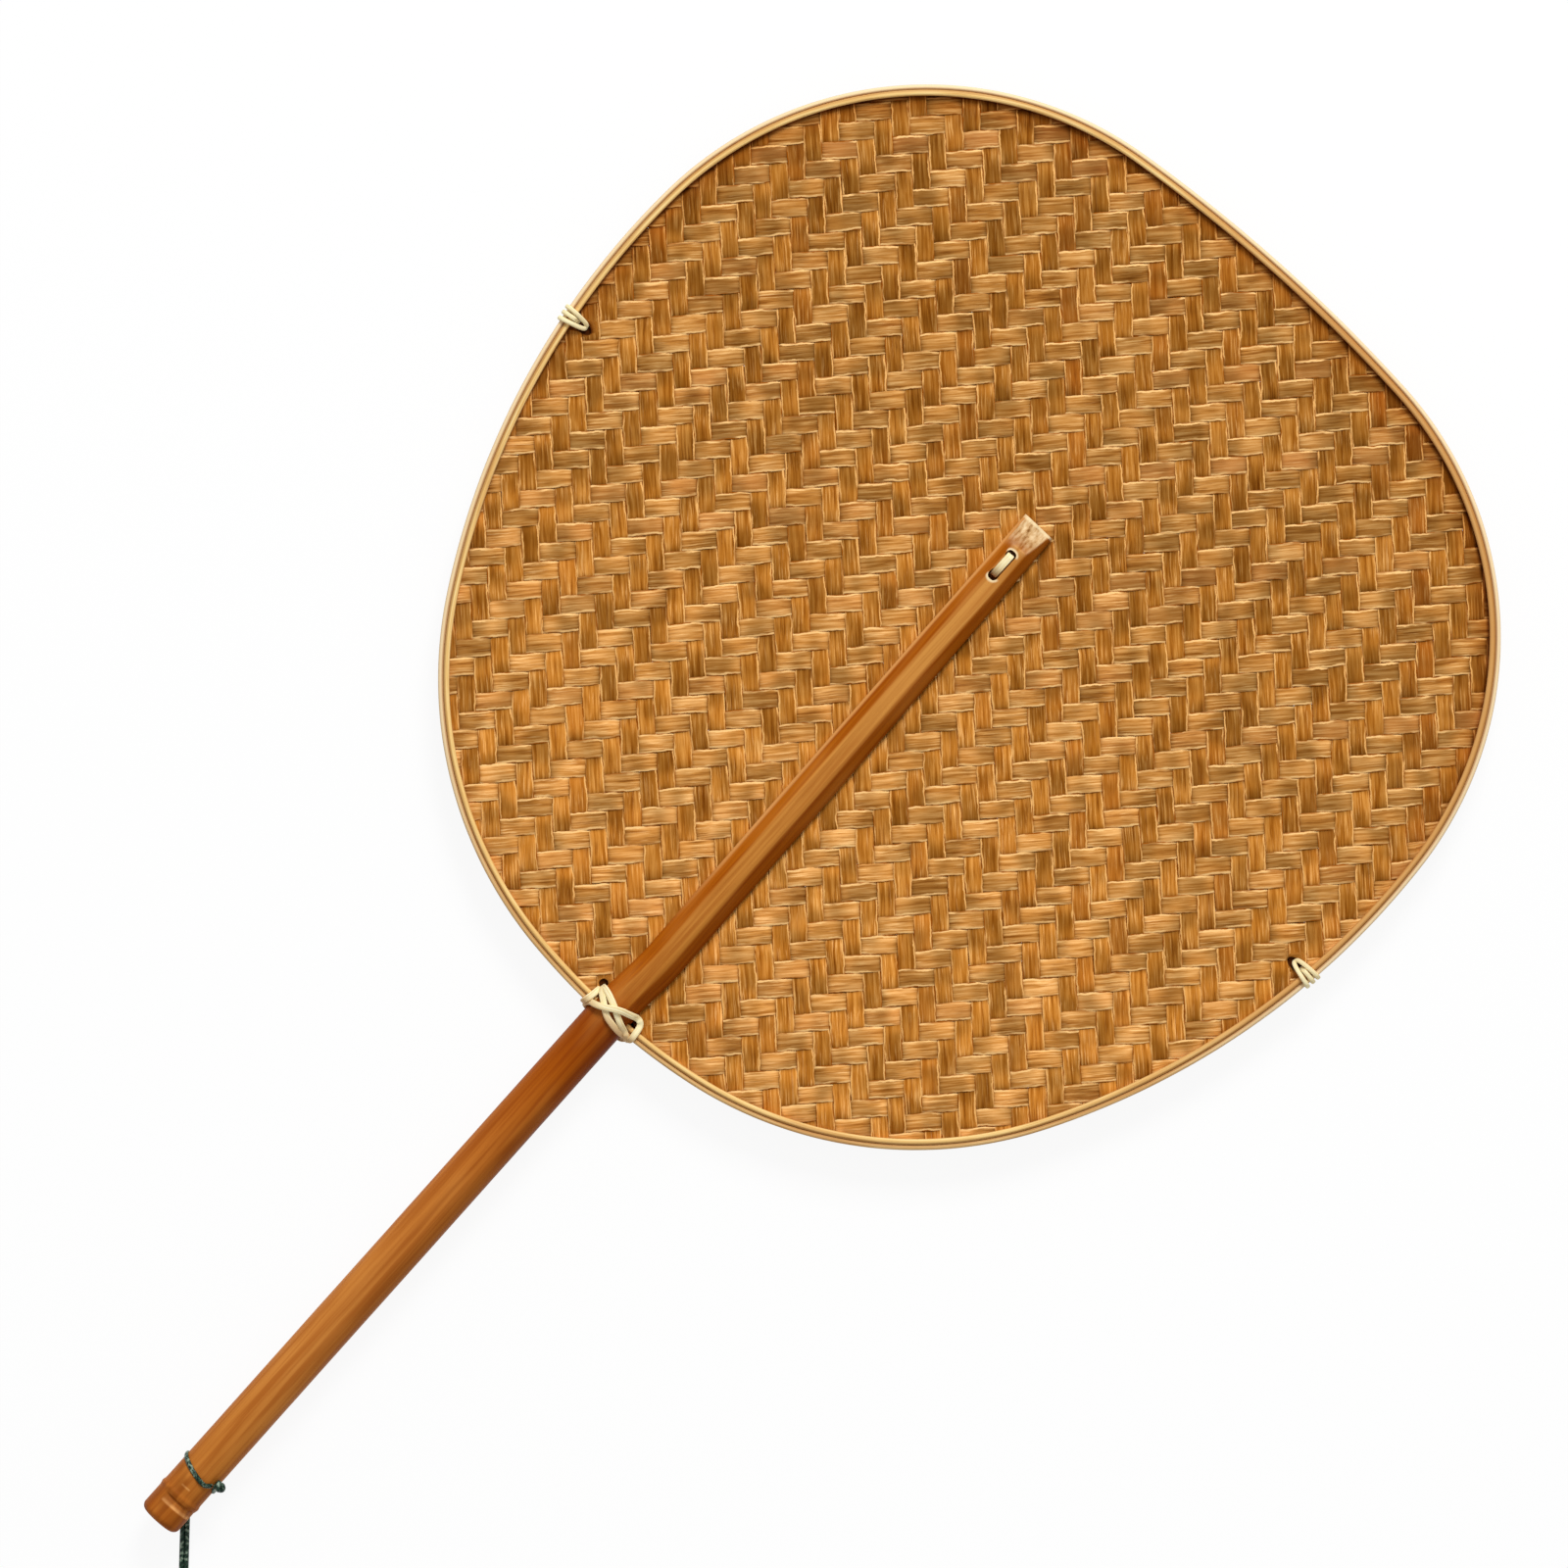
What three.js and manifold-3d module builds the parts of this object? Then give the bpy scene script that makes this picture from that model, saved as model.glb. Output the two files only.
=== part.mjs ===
// A woven bamboo hand fan, lying on its back. One bamboo rod is the handle: its upper half is sawn into a
// front and a back leaf, which clasp a twill-woven panel. Three bent bamboo hoops clamp the panel's edge,
// rattan lashings hold rim, panel and handle together, and a cord loop is tied round the butt.
// Millimetres. +Y runs up the handle, +X to the right and +Z to the front, away from the table.

import * as THREE from 'three';
import { mergeVertices } from 'three/addons/utils/BufferGeometryUtils.js';
import Module from 'manifold-3d';

const wasm = await Module();
wasm.setup();

// Clearances
const seatGap = 0.3; // between two pieces that lie on each other
const strandGap = 0.5; // between neighbouring turns of one strand

// Blade outline: bends of the outermost hoop from the neck up one side, radius and turn in degrees
const footBendRadius = 189;
const footBendTurn = 8.5;
const lowerBendRadius = 113.5;
const lowerBendTurn = 51.2;
const sideBendRadius = 214.5;
const sideBendTurn = 34;
const shoulderBendRadius = 101.4;
const crownHalfTurn = 6.1; // the crown's radius closes the outline on the axis
const bendStep = 5.6; // degrees between two points of a bend

// Rim hoops
const bandWidth = 1.4; // outer band, seen from the front
const bandHeight = 4.6;
const stripWidth = 1.4; // front and back strips
const stripHeight = 1.6;
const hoopChamfer = 0.4;
const hoopJointGap = 0.6; // where a hoop's two ends meet, inside the neck

// Woven panel
const panelThickness = 1.4;

// Handle
const gripLength = 183.3; // from the butt to the rim's outer edge
const gripRadius = 6.25;
const buttRounding = 1.4;
const nodeFromButt = 6.9; // the groove of the bamboo's node
const nodeGrooveWidth = 2.8;
const nodeGrooveDepth = 0.7;
const leafLength = 178.7; // from the rim's outer edge to the tip
const leafApothem = 5.75; // the leaves are planed to eight flats
const planeRunOut = 6; // over which the round grip becomes eight-sided
const leafDrift = 1.4; // how far the rod's natural bend takes the tip to the left
const tipShaveLength = 10;
const tipHalfThickness = 3.4;

// Rattan strands
const strandWidth = 1.5;
const strandThickness = 1.0;
const strandShoulder = 0.62; // share of the width that is flat on top
const pressedFlat = 0.5; // how far the lowest turn is flattened by the table
const roundHandle = 0.85; // how boxy a half turn is: 1 is an ellipse, less is squarer
const roundCrossing = 0.65;
const roundRim = 0.5;

// Side lashings
const sideLashingHeading = 82.5; // direction of the rim where they sit, in degrees
const sideLashingTurns = 3;
const sideLashingFan = 0.8; // how much wider the turns stand on the rim than in their hole
const sideTail = 0.5; // share of a half turn behind the rim, at each end

// Neck lashing
const neckSpread = 0.7; // how much wider the strands stand than close-laid ones
const neckHoleRise = 2.1; // from the rim's inner edge to the first strand in the left hole
const neckBow = 8.9; // how far the last strand bows up round the right hole
const neckBowSkew = 0.7;
const neckSag = 3.2; // how far the strand behind the grip hangs below the rim
const neckLift = 0.4; // extra height of the strand that crosses over the others
const neckClimb = 0.1; // share of a half turn that climbs straight past the rim before it bows
const neckTail = 0.3; // share of a half turn behind the rod, at each end
const rightHoleSize = 2.4;

// Tip tie
const tieStrapWidth = 2.1;
const tieStrapThickness = 1.0;
const tieFromTip = 11; // from the tip to the upper slot
const tieSlotSpacing = 7.5;
const tieProud = 0.3; // how far the strap stands out of its recess on the front
const tieBendRadius = 0.9;
const tieTail = 2.2; // from the upper slot to the folded-in end
const tieShoulder = 0.9; // share of the strap's width that is flat

// Cord
const cordDiameter = 1.4;
const collarFromButt = 17.6;
const collarTilt = 1.45; // the ring's left side sits this much higher than its middle
const collarSag = 1.05; // and its front hangs this much lower
const knotRadius = 1.6;
const knotAngle = 36; // degrees round the grip, from the right side to the front
const knotRise = 2.3; // from the ring to the middle of the knot, up the grip
const cordHeading = 40.2; // direction of the loop, in degrees from the butt's axis to the right
const loopFromAxis = 5.15; // where the loop leaves the ring, left of the rod's axis
const loopBelowCollar = 0.75;

// Facets
const handleSides = 32;
const leafSpans = 6; // between the neck and the shaved tip
const halfTurnSteps = 12;
const bendAngles = [0, 30, 60, 90]; // degrees round a small quarter bend
const cordSides = 8;
const collarSteps = 26;
const loopSteps = 62;
const knotSides = 16;
const knotBands = 10;

const degree = Math.PI / 180;
const rimWidth = bandWidth + seatGap + stripWidth;
const panelInset = bandWidth + seatGap;
const stripFoot = panelThickness / 2 + seatGap;
const rimHalfHeight = Math.max(bandHeight / 2, stripFoot + stripHeight);
const strandSeat = seatGap + strandThickness / 2;
const strandPitch = strandWidth + strandGap;
const layerStep = strandThickness + strandGap;
const handleReach = gripRadius + strandSeat;

// How far below the panel's middle the lashing and the tie reach: the lower of them stands on the table
const neckDepth = handleReach + layerStep + strandThickness / 2 - pressedFlat;
const tieDepth = leafApothem + seatGap + 2 * tieStrapThickness + strandGap;
const restHeight = Math.max(neckDepth, tieDepth);

// Blade outline

const shoulderBendTurn = 180 - footBendTurn - lowerBendTurn - sideBendTurn - crownHalfTurn;

function bladeArcs() {
  const arcs = [];
  const at = new THREE.Vector2();
  let heading = 0;
  const bend = (radius, turn) => {
    const from = heading * degree;
    const to = (heading + turn) * degree;
    const centre = new THREE.Vector2(at.x - radius * Math.sin(from), at.y + radius * Math.cos(from));
    arcs.push({ centre, radius, from: heading, to: heading + turn });
    at.set(centre.x + radius * Math.sin(to), centre.y - radius * Math.cos(to));
    heading += turn;
  };
  bend(footBendRadius, footBendTurn);
  bend(lowerBendRadius, lowerBendTurn);
  bend(sideBendRadius, sideBendTurn);
  bend(shoulderBendRadius, shoulderBendTurn);
  bend(at.x / Math.sin(heading * degree), crownHalfTurn);
  return arcs;
}

const arcs = bladeArcs();

// A point of the outline, moved inwards; headings past 180 degrees come down the left side
function outlinePoint(heading, inset) {
  const left = heading > 180;
  const turned = left ? 360 - heading : heading;
  const arc = arcs.find((candidate) => turned <= candidate.to) ?? arcs.at(-1);
  const reach = arc.radius - inset;
  const x = arc.centre.x + reach * Math.sin(turned * degree);
  const y = arc.centre.y - reach * Math.cos(turned * degree);
  return new THREE.Vector2(left ? -x : x, y);
}

function outlineHeadings() {
  const right = [0];
  for (const arc of arcs) {
    const steps = Math.max(2, Math.round((arc.to - arc.from) / bendStep));
    for (let step = 1; step <= steps; step += 1) {
      right.push(arc.from + ((arc.to - arc.from) * step) / steps);
    }
  }
  const left = right.slice(1, -1).reverse().map((heading) => 360 - heading);
  return [...right, ...left];
}

const headings = outlineHeadings();
const bladeHeight = outlinePoint(180, 0).y;

// Building solids

// A closed body through a row of rings with the same number of points, capped at both ends
function ringBody(rings) {
  const count = rings[0].length;
  const last = rings.length - 1;
  const index = [];
  for (let ring = 0; ring < last; ring += 1) {
    for (let side = 0; side < count; side += 1) {
      const a = ring * count + side;
      const b = ring * count + ((side + 1) % count);
      index.push(a, b, b + count, a, b + count, a + count);
    }
  }
  for (let side = 1; side < count - 1; side += 1) {
    index.push(0, side + 1, side);
    index.push(last * count, last * count + side, last * count + side + 1);
  }
  const points = rings.flat();
  let volume = 0;
  for (let corner = 0; corner < index.length; corner += 3) {
    const [a, b, c] = [0, 1, 2].map((offset) => points[index[corner + offset]]);
    volume += a.dot(new THREE.Vector3().crossVectors(b, c));
  }
  if (volume < 0) index.reverse();
  const geometry = new THREE.BufferGeometry().setFromPoints(points);
  geometry.setIndex(index);
  geometry.computeVertexNormals();
  return geometry;
}

function solidOf(geometry) {
  const bare = geometry.clone();
  bare.deleteAttribute('normal');
  bare.deleteAttribute('uv');
  const merged = mergeVertices(bare, 1e-4);
  return new wasm.Manifold(
    new wasm.Mesh({
      numProp: 3,
      vertProperties: new Float32Array(merged.attributes.position.array),
      triVerts: new Uint32Array(merged.index.array),
    }),
  );
}

function geometryOf(solid) {
  const mesh = solid.getMesh();
  const geometry = new THREE.BufferGeometry();
  geometry.setAttribute('position', new THREE.BufferAttribute(mesh.vertProperties, 3));
  geometry.setIndex(new THREE.BufferAttribute(mesh.triVerts, 1));
  geometry.computeVertexNormals();
  return geometry;
}

function boxBetween(low, high) {
  const size = new THREE.Vector3().subVectors(high, low);
  const middle = new THREE.Vector3().addVectors(low, high).multiplyScalar(0.5);
  const box = new THREE.BoxGeometry(size.x, size.y, size.z);
  return solidOf(box.translate(middle.x, middle.y, middle.z));
}

// Rim hoops: each is one open strip whose ends meet inside the neck

function chamferedProfile(fromInset, toInset, low, high) {
  const cut = hoopChamfer;
  return [
    [fromInset + cut, low],
    [toInset - cut, low],
    [toInset, low + cut],
    [toInset, high - cut],
    [toInset - cut, high],
    [fromInset + cut, high],
    [fromInset, high - cut],
    [fromInset, low + cut],
  ];
}

function hoop(profile) {
  const half = hoopJointGap / 2 / footBendRadius / degree;
  const open = [half, ...headings.slice(1), 360 - half];
  const rings = open.map((heading) =>
    profile.map(([inset, z]) => {
      const point = outlinePoint(heading, inset);
      return new THREE.Vector3(point.x, point.y, z);
    }),
  );
  return ringBody(rings);
}

const stripTop = stripFoot + stripHeight;
const bandGeometry = hoop(chamferedProfile(0, bandWidth, -bandHeight / 2, bandHeight / 2));
const frontStripGeometry = hoop(chamferedProfile(panelInset, rimWidth, stripFoot, stripTop));
const backStripGeometry = hoop(chamferedProfile(panelInset, rimWidth, -stripTop, -stripFoot));

// Handle

const tipY = leafLength;
const buttY = -gripLength;
const planedFrom = rimWidth + seatGap;
const planedTo = planedFrom + planeRunOut;

function leafShift(y) {
  const share = Math.max(0, y / leafLength);
  return -leafDrift * share * share;
}

function handleRing({ y, radius = gripRadius, planed = 0, half = gripRadius }) {
  const ring = [];
  for (let side = 0; side < handleSides; side += 1) {
    const angle = (side / handleSides) * 2 * Math.PI;
    const offFlat = ((angle + Math.PI / 8) % (Math.PI / 4)) - Math.PI / 8;
    const reach = THREE.MathUtils.lerp(radius, leafApothem / Math.cos(offFlat), planed);
    const z = THREE.MathUtils.clamp(reach * Math.sin(angle), -half, half);
    ring.push(new THREE.Vector3(reach * Math.cos(angle) + leafShift(y), y, z));
  }
  return ring;
}

function handleRod() {
  const rings = [];
  for (const angle of bendAngles) {
    const inset = buttRounding * (1 - Math.sin(angle * degree));
    const y = buttY + buttRounding * (1 - Math.cos(angle * degree));
    rings.push(handleRing({ y, radius: gripRadius - inset }));
  }
  const nodeY = buttY + nodeFromButt;
  rings.push(handleRing({ y: nodeY - nodeGrooveWidth / 2 }));
  rings.push(handleRing({ y: nodeY, radius: gripRadius - nodeGrooveDepth }));
  rings.push(handleRing({ y: nodeY + nodeGrooveWidth / 2 }));
  rings.push(handleRing({ y: planedFrom }));
  rings.push(handleRing({ y: planedTo, planed: 1 }));
  const shaveY = tipY - tipShaveLength;
  for (let span = 1; span <= leafSpans; span += 1) {
    const y = THREE.MathUtils.lerp(planedTo, shaveY, span / leafSpans);
    rings.push(handleRing({ y, planed: 1 }));
  }
  rings.push(handleRing({ y: tipY, planed: 1, half: tipHalfThickness }));
  return solidOf(ringBody(rings));
}

const slitHalf = panelThickness / 2 + seatGap;
const acrossHandle = gripRadius + leafDrift;
const rimRise = footBendRadius - Math.sqrt(footBendRadius ** 2 - gripRadius ** 2);
const seatTop = rimWidth + rimRise + seatGap;
const seatHalf = rimHalfHeight + seatGap;

const upperSlotY = tipY - tieFromTip;
const lowerSlotY = upperSlotY - tieSlotSpacing;
const tieX = leafShift((upperSlotY + lowerSlotY) / 2);
const tieHalfWidth = tieStrapWidth / 2 + seatGap;
const tieHalfSlot = tieStrapThickness / 2 + seatGap;
const tieFrontZ = leafApothem + tieProud - tieStrapThickness / 2;
const tieRecessZ = tieFrontZ - tieStrapThickness / 2 - seatGap;

function handleSolid() {
  const across = (fromY, toY, half) =>
    boxBetween(
      new THREE.Vector3(-acrossHandle, fromY, -half),
      new THREE.Vector3(acrossHandle, toY, half),
    );
  const tieCut = (fromY, toY, fromZ) =>
    boxBetween(
      new THREE.Vector3(tieX - tieHalfWidth, fromY, fromZ),
      new THREE.Vector3(tieX + tieHalfWidth, toY, gripRadius),
    );
  return handleRod()
    .subtract(across(-seatGap, seatTop, seatHalf))
    .subtract(across(0, tipY + seatGap, slitHalf))
    .subtract(tieCut(lowerSlotY - tieHalfSlot, lowerSlotY + tieHalfSlot, -gripRadius))
    .subtract(tieCut(upperSlotY - tieHalfSlot, upperSlotY + tieHalfSlot, -gripRadius))
    .subtract(tieCut(lowerSlotY, upperSlotY, tieRecessZ));
}

// Rattan strands: flat-backed, with six sides, laid along a route of points and outward directions

function strandRings(route, width, thickness, shoulder) {
  return route.map(({ at, out }, step) => {
    const before = route[Math.max(step - 1, 0)].at;
    const after = route[Math.min(step + 1, route.length - 1)].at;
    const along = new THREE.Vector3().subVectors(after, before).normalize();
    const up = out.clone().addScaledVector(along, -out.dot(along)).normalize();
    const side = new THREE.Vector3().crossVectors(along, up);
    const corner = (across, rise) =>
      at.clone().addScaledVector(side, (across * width) / 2).addScaledVector(up, (rise * thickness) / 2);
    return [
      corner(1, 0),
      corner(shoulder, 1),
      corner(-shoulder, 1),
      corner(-1, 0),
      corner(-shoulder, -1),
      corner(shoulder, -1),
    ];
  });
}

// The least distance between stretches of one tube that aren't next to each other, on points of its surface
function leastGap(rings, apart) {
  const points = [];
  rings.forEach((ring, step) => {
    const next = rings[Math.min(step + 1, rings.length - 1)];
    const later = ring.map((point, side) => point.clone().lerp(next[side], 0.5));
    points.push(ring, later);
  });
  let least = Infinity;
  for (let first = 0; first < points.length; first += 1) {
    for (let second = first + 2 * apart; second < points.length; second += 1) {
      for (const a of points[first]) {
        for (const b of points[second]) {
          least = Math.min(least, a.distanceTo(b));
        }
      }
    }
  }
  return least;
}

function reportGap(name, rings, apart) {
  console.log(`${name}: least gap to itself ${leastGap(rings, apart).toFixed(2)} mm`);
}

// A wound strand goes through the panel's middle at each pass, in turn towards the back and the front.
// Between two passes it makes half a turn: over the front where the peak is positive, else behind.
// The first and last half turns are only tails.
function woundRoute(passes, halfTurns, tail) {
  const route = [];
  halfTurns.forEach(({ peak, square, bow = 0, bowSkew = 1 }, turn) => {
    const from = passes[turn];
    const to = passes[turn + 1];
    const first = turn === 0 ? Math.round((1 - tail) * halfTurnSteps) : 1;
    const final = turn === halfTurns.length - 1 ? Math.round(tail * halfTurnSteps) : halfTurnSteps;
    for (let step = first; step <= final; step += 1) {
      const angle = (step / halfTurnSteps) * Math.PI;
      const swing = Math.sign(Math.cos(angle)) * Math.abs(Math.cos(angle)) ** square;
      const share = (1 - swing) / 2;
      const place = from.at.clone().lerp(to.at, share);
      const climbed = THREE.MathUtils.clamp((step / halfTurnSteps - neckClimb) / (1 - 2 * neckClimb), 0, 1);
      place.y += bow * Math.sin(Math.PI * climbed ** bowSkew);
      const facing = step <= halfTurnSteps / 2 ? from.out : to.out;
      const flat = Math.abs(Math.cos(angle));
      route.push({
        at: new THREE.Vector3(place.x, place.y, peak * Math.sin(angle) ** square),
        out: new THREE.Vector3(facing.x * flat, facing.y * flat, Math.sign(peak) * Math.sin(angle)),
      });
    }
  });
  return straightEnds(route);
}

// Both ends run on straight for one strand width
function straightEnds(route) {
  const beyond = (end, inner) => {
    const way = new THREE.Vector3().subVectors(end.at, inner.at).normalize();
    return { at: end.at.clone().addScaledVector(way, strandWidth), out: end.out };
  };
  return [beyond(route[0], route[1]), ...route, beyond(route.at(-1), route.at(-2))];
}

const pass = (x, y, outX, outY) => ({
  at: new THREE.Vector2(x, y),
  out: new THREE.Vector2(outX, outY),
});

// Neck lashing: two strands run from the left hole down to the right over the rod, one goes round the rim
// at the left, and the last bows round the right hole and crosses over both.

const rimOutside = -strandSeat - rimRise;
const besideHandle = handleReach;
const besideRim = gripRadius + seatGap + strandWidth / 2;
const leftHoleY = rimWidth + neckHoleRise + strandWidth / 2;
const neckPitch = strandPitch + neckSpread;
const wrapHoleX = -besideHandle - strandThickness / 2 - strandGap - strandWidth / 2;
const wrapHoleY = rimWidth + rimRise + strandSeat + strandGap;

const neckPasses = [
  pass(besideHandle, leftHoleY + 2 * neckPitch, 1, 0),
  pass(-besideHandle, leftHoleY + neckPitch, -1, 0),
  pass(besideRim + neckPitch, rimOutside, 0, -1),
  pass(-besideHandle, leftHoleY, -1, 0),
  pass(besideRim, rimOutside - neckSpread, 0, -1),
  pass(wrapHoleX, wrapHoleY, 0, 1),
  pass(-besideRim - neckPitch, rimOutside, 0, -1),
  pass(besideRim + 2 * neckPitch, rimOutside, 0, -1),
  pass(-besideRim, rimOutside, 0, -1),
  pass(besideRim, wrapHoleY, 1, 0),
];

const overRim = rimHalfHeight + strandSeat;
const overStrand = handleReach + layerStep;

const neckHalfTurns = [
  { peak: -handleReach, square: roundHandle },
  { peak: handleReach, square: roundHandle },
  { peak: -overStrand, square: roundHandle },
  { peak: handleReach, square: roundHandle },
  { peak: -handleReach, square: roundHandle },
  { peak: overRim, square: roundRim },
  { peak: -handleReach, square: roundHandle, bow: -neckSag },
  { peak: overStrand + neckLift, square: roundCrossing, bow: neckBow, bowSkew: neckBowSkew },
  { peak: -handleReach, square: roundHandle },
];

const neckRings = strandRings(
  woundRoute(neckPasses, neckHalfTurns, neckTail),
  strandWidth,
  strandThickness,
  strandShoulder,
);
reportGap('neck_lashing', neckRings, halfTurnSteps / 2);

function neckLashingSolid() {
  const reach = besideRim + 4 * neckPitch;
  const table = boxBetween(
    new THREE.Vector3(-reach, -reach, -2 * restHeight),
    new THREE.Vector3(reach, 2 * reach, -neckDepth),
  );
  return solidOf(ringBody(neckRings)).subtract(table);
}

// Side lashings: three turns round the rim through one hole in the panel

function sideLashingFrame(left) {
  const heading = left ? 360 - sideLashingHeading : sideLashingHeading;
  const origin = outlinePoint(heading, 0);
  const inside = new THREE.Vector2().subVectors(outlinePoint(heading, 1), origin);
  const along = new THREE.Vector2(-inside.y, inside.x).multiplyScalar(left ? -1 : 1);
  const place = (inset, tangent) =>
    origin.clone().addScaledVector(inside, inset).addScaledVector(along, tangent);
  return { inside, place };
}

const holeInset = rimWidth + strandSeat;

function sideLashingRings(left) {
  const { inside, place } = sideLashingFrame(left);
  const outside = inside.clone().negate();
  const middle = (sideLashingTurns - 1) / 2;
  const passes = [];
  const halfTurns = [];
  for (let turn = -1; turn <= 2 * sideLashingTurns; turn += 1) {
    const atHole = turn % 2 === 0;
    const pitch = strandPitch + (atHole ? 0 : sideLashingFan);
    const at = place(atHole ? holeInset : -strandSeat, (turn / 2 - middle) * pitch);
    passes.push({ at, out: atHole ? inside : outside });
    halfTurns.push({ peak: atHole ? overRim : -overRim, square: roundRim });
  }
  return strandRings(
    woundRoute(passes, halfTurns.slice(0, -1), sideTail),
    strandWidth,
    strandThickness,
    strandShoulder,
  );
}

const leftLashingRings = sideLashingRings(true);
const rightLashingRings = sideLashingRings(false);
reportGap('left_lashing', leftLashingRings, halfTurnSteps);
reportGap('right_lashing', rightLashingRings, halfTurnSteps);

// Woven panel: a plate under the strips, with the holes that the strands go through

function boxHole(fromX, toX, fromY, toY) {
  return new THREE.Path([
    new THREE.Vector2(fromX, fromY),
    new THREE.Vector2(fromX, toY),
    new THREE.Vector2(toX, toY),
    new THREE.Vector2(toX, fromY),
  ]);
}

function sideHole(left) {
  const { place } = sideLashingFrame(left);
  const deep = strandSeat;
  const long = ((sideLashingTurns - 1) / 2) * strandPitch + strandWidth / 2 + seatGap;
  return new THREE.Path([
    place(holeInset - deep, -long),
    place(holeInset - deep, long),
    place(holeInset + deep, long),
    place(holeInset + deep, -long),
  ]);
}

function panelGeometry() {
  const shape = new THREE.Shape(headings.map((heading) => outlinePoint(heading, panelInset)));
  const halfHole = rightHoleSize / 2;
  const slot = (y) => boxHole(tieX - tieHalfWidth, tieX + tieHalfWidth, y - tieHalfSlot, y + tieHalfSlot);
  shape.holes.push(
    boxHole(
      wrapHoleX - strandWidth / 2 - seatGap,
      -besideHandle + strandSeat,
      wrapHoleY - strandSeat,
      leftHoleY + neckPitch + strandWidth / 2 + seatGap,
    ),
    boxHole(
      besideHandle - halfHole,
      besideHandle + halfHole,
      leftHoleY - halfHole,
      leftHoleY + halfHole,
    ),
    sideHole(true),
    sideHole(false),
    slot(lowerSlotY),
    slot(upperSlotY),
  );
  const plate = new THREE.ExtrudeGeometry(shape, { depth: panelThickness, bevelEnabled: false });
  return plate.translate(0, 0, -panelThickness / 2);
}

// Tip tie: a flat strap that goes through both slots, with its ends folded over each other behind

function tieRoute() {
  const inner = -(leafApothem + seatGap + tieStrapThickness / 2);
  const outer = inner - tieStrapThickness - strandGap;
  const corners = [
    [upperSlotY - tieTail, inner],
    [lowerSlotY, inner],
    [lowerSlotY, tieFrontZ],
    [upperSlotY, tieFrontZ],
    [upperSlotY, outer],
    [lowerSlotY, outer],
  ].map(([y, z]) => new THREE.Vector2(y, z));
  const points = [corners[0]];
  for (let turn = 1; turn < corners.length - 1; turn += 1) {
    const back = new THREE.Vector2().subVectors(corners[turn - 1], corners[turn]).normalize();
    const on = new THREE.Vector2().subVectors(corners[turn + 1], corners[turn]).normalize();
    const centre = corners[turn].clone()
      .addScaledVector(back, tieBendRadius)
      .addScaledVector(on, tieBendRadius);
    for (const angle of bendAngles) {
      const sine = Math.sin(angle * degree);
      const cosine = Math.cos(angle * degree);
      points.push(
        centre.clone()
          .addScaledVector(on, -tieBendRadius * cosine)
          .addScaledVector(back, -tieBendRadius * sine),
      );
    }
  }
  points.push(corners.at(-1));
  return points.map((point, step) => {
    const before = points[Math.max(step - 1, 0)];
    const after = points[Math.min(step + 1, points.length - 1)];
    return {
      at: new THREE.Vector3(tieX, point.x, point.y),
      out: new THREE.Vector3(0, before.y - after.y, after.x - before.x),
    };
  });
}

const tieRings = strandRings(tieRoute(), tieStrapWidth, tieStrapThickness, tieShoulder);
reportGap('tip_tie', tieRings, bendAngles.length + 2);

// Cord: a ring round the grip, closed by a ball knot, and a hanging loop that lies under the butt

const cordReach = gripRadius + seatGap + cordDiameter / 2;
const knotReach = gripRadius + seatGap + knotRadius;
const collarY = buttY + collarFromButt;

function roundRings(points, radius) {
  return points.map((point, step) => {
    const before = points[Math.max(step - 1, 0)];
    const after = points[Math.min(step + 1, points.length - 1)];
    const along = new THREE.Vector3().subVectors(after, before).normalize();
    const side = new THREE.Vector3(point.x, 0, point.z).normalize();
    side.addScaledVector(along, -side.dot(along)).normalize();
    const up = new THREE.Vector3().crossVectors(along, side);
    return Array.from({ length: cordSides }, (_, corner) => {
      const angle = ((corner + 0.5) / cordSides) * 2 * Math.PI;
      return point.clone()
        .addScaledVector(side, radius * Math.cos(angle))
        .addScaledVector(up, radius * Math.sin(angle));
    });
  });
}

// How far up the grip the ring lies, at an angle round it
function collarAt(angle) {
  return collarY - collarTilt * Math.cos(angle) - collarSag * Math.max(0, Math.sin(angle));
}

function collarRings() {
  const spread = (knotRadius + cordDiameter / 2 + seatGap) / knotReach / degree;
  const points = [];
  for (let step = 0; step <= collarSteps; step += 1) {
    const angle = (knotAngle + spread + ((360 - 2 * spread) * step) / collarSteps) * degree;
    points.push(new THREE.Vector3(cordReach * Math.cos(angle), collarAt(angle), cordReach * Math.sin(angle)));
  }
  return roundRings(points, cordDiameter / 2);
}

function knotGeometry() {
  const angle = knotAngle * degree;
  const ball = new THREE.SphereGeometry(knotRadius, knotSides, knotBands);
  const y = collarAt(angle) + knotRise;
  return ball.translate(knotReach * Math.cos(angle), y, knotReach * Math.sin(angle));
}

// The loop's route: along its heading, across it, and above the table
const loopStart = new THREE.Vector2(-loopFromAxis, collarY - loopBelowCollar);
const loopRoute = [
  [0.2, -0.96, 2.7],
  [3.2, -0.96, 1.9],
  [7, -0.96, 1.1],
  [12, -0.96, 0.75],
  [20, -0.96, 0.75],
  [32, -0.96, 0.75],
  [44, -0.96, 0.75],
  [56, -0.96, 0.75],
  [66, -1.2, 0.75],
  [75, -2.6, 0.75],
  [83, -4.7, 0.75],
  [90, -5.6, 0.75],
  [96, -4.3, 0.75],
  [98.6, 0, 0.75],
  [96, 4.3, 0.75],
  [90, 5.6, 0.75],
  [83, 4.7, 0.75],
  [75, 2.6, 0.75],
  [66, 1.2, 0.75],
  [56, 0.96, 0.75],
  [44, 0.96, 0.75],
  [32, 0.96, 0.75],
  [20, 0.96, 0.75],
  [12, 0.96, 0.75],
  [7, 0.96, 1.1],
  [3.8, 0.96, 1.6],
  [1.4, 0.96, 2.1],
];

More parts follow.
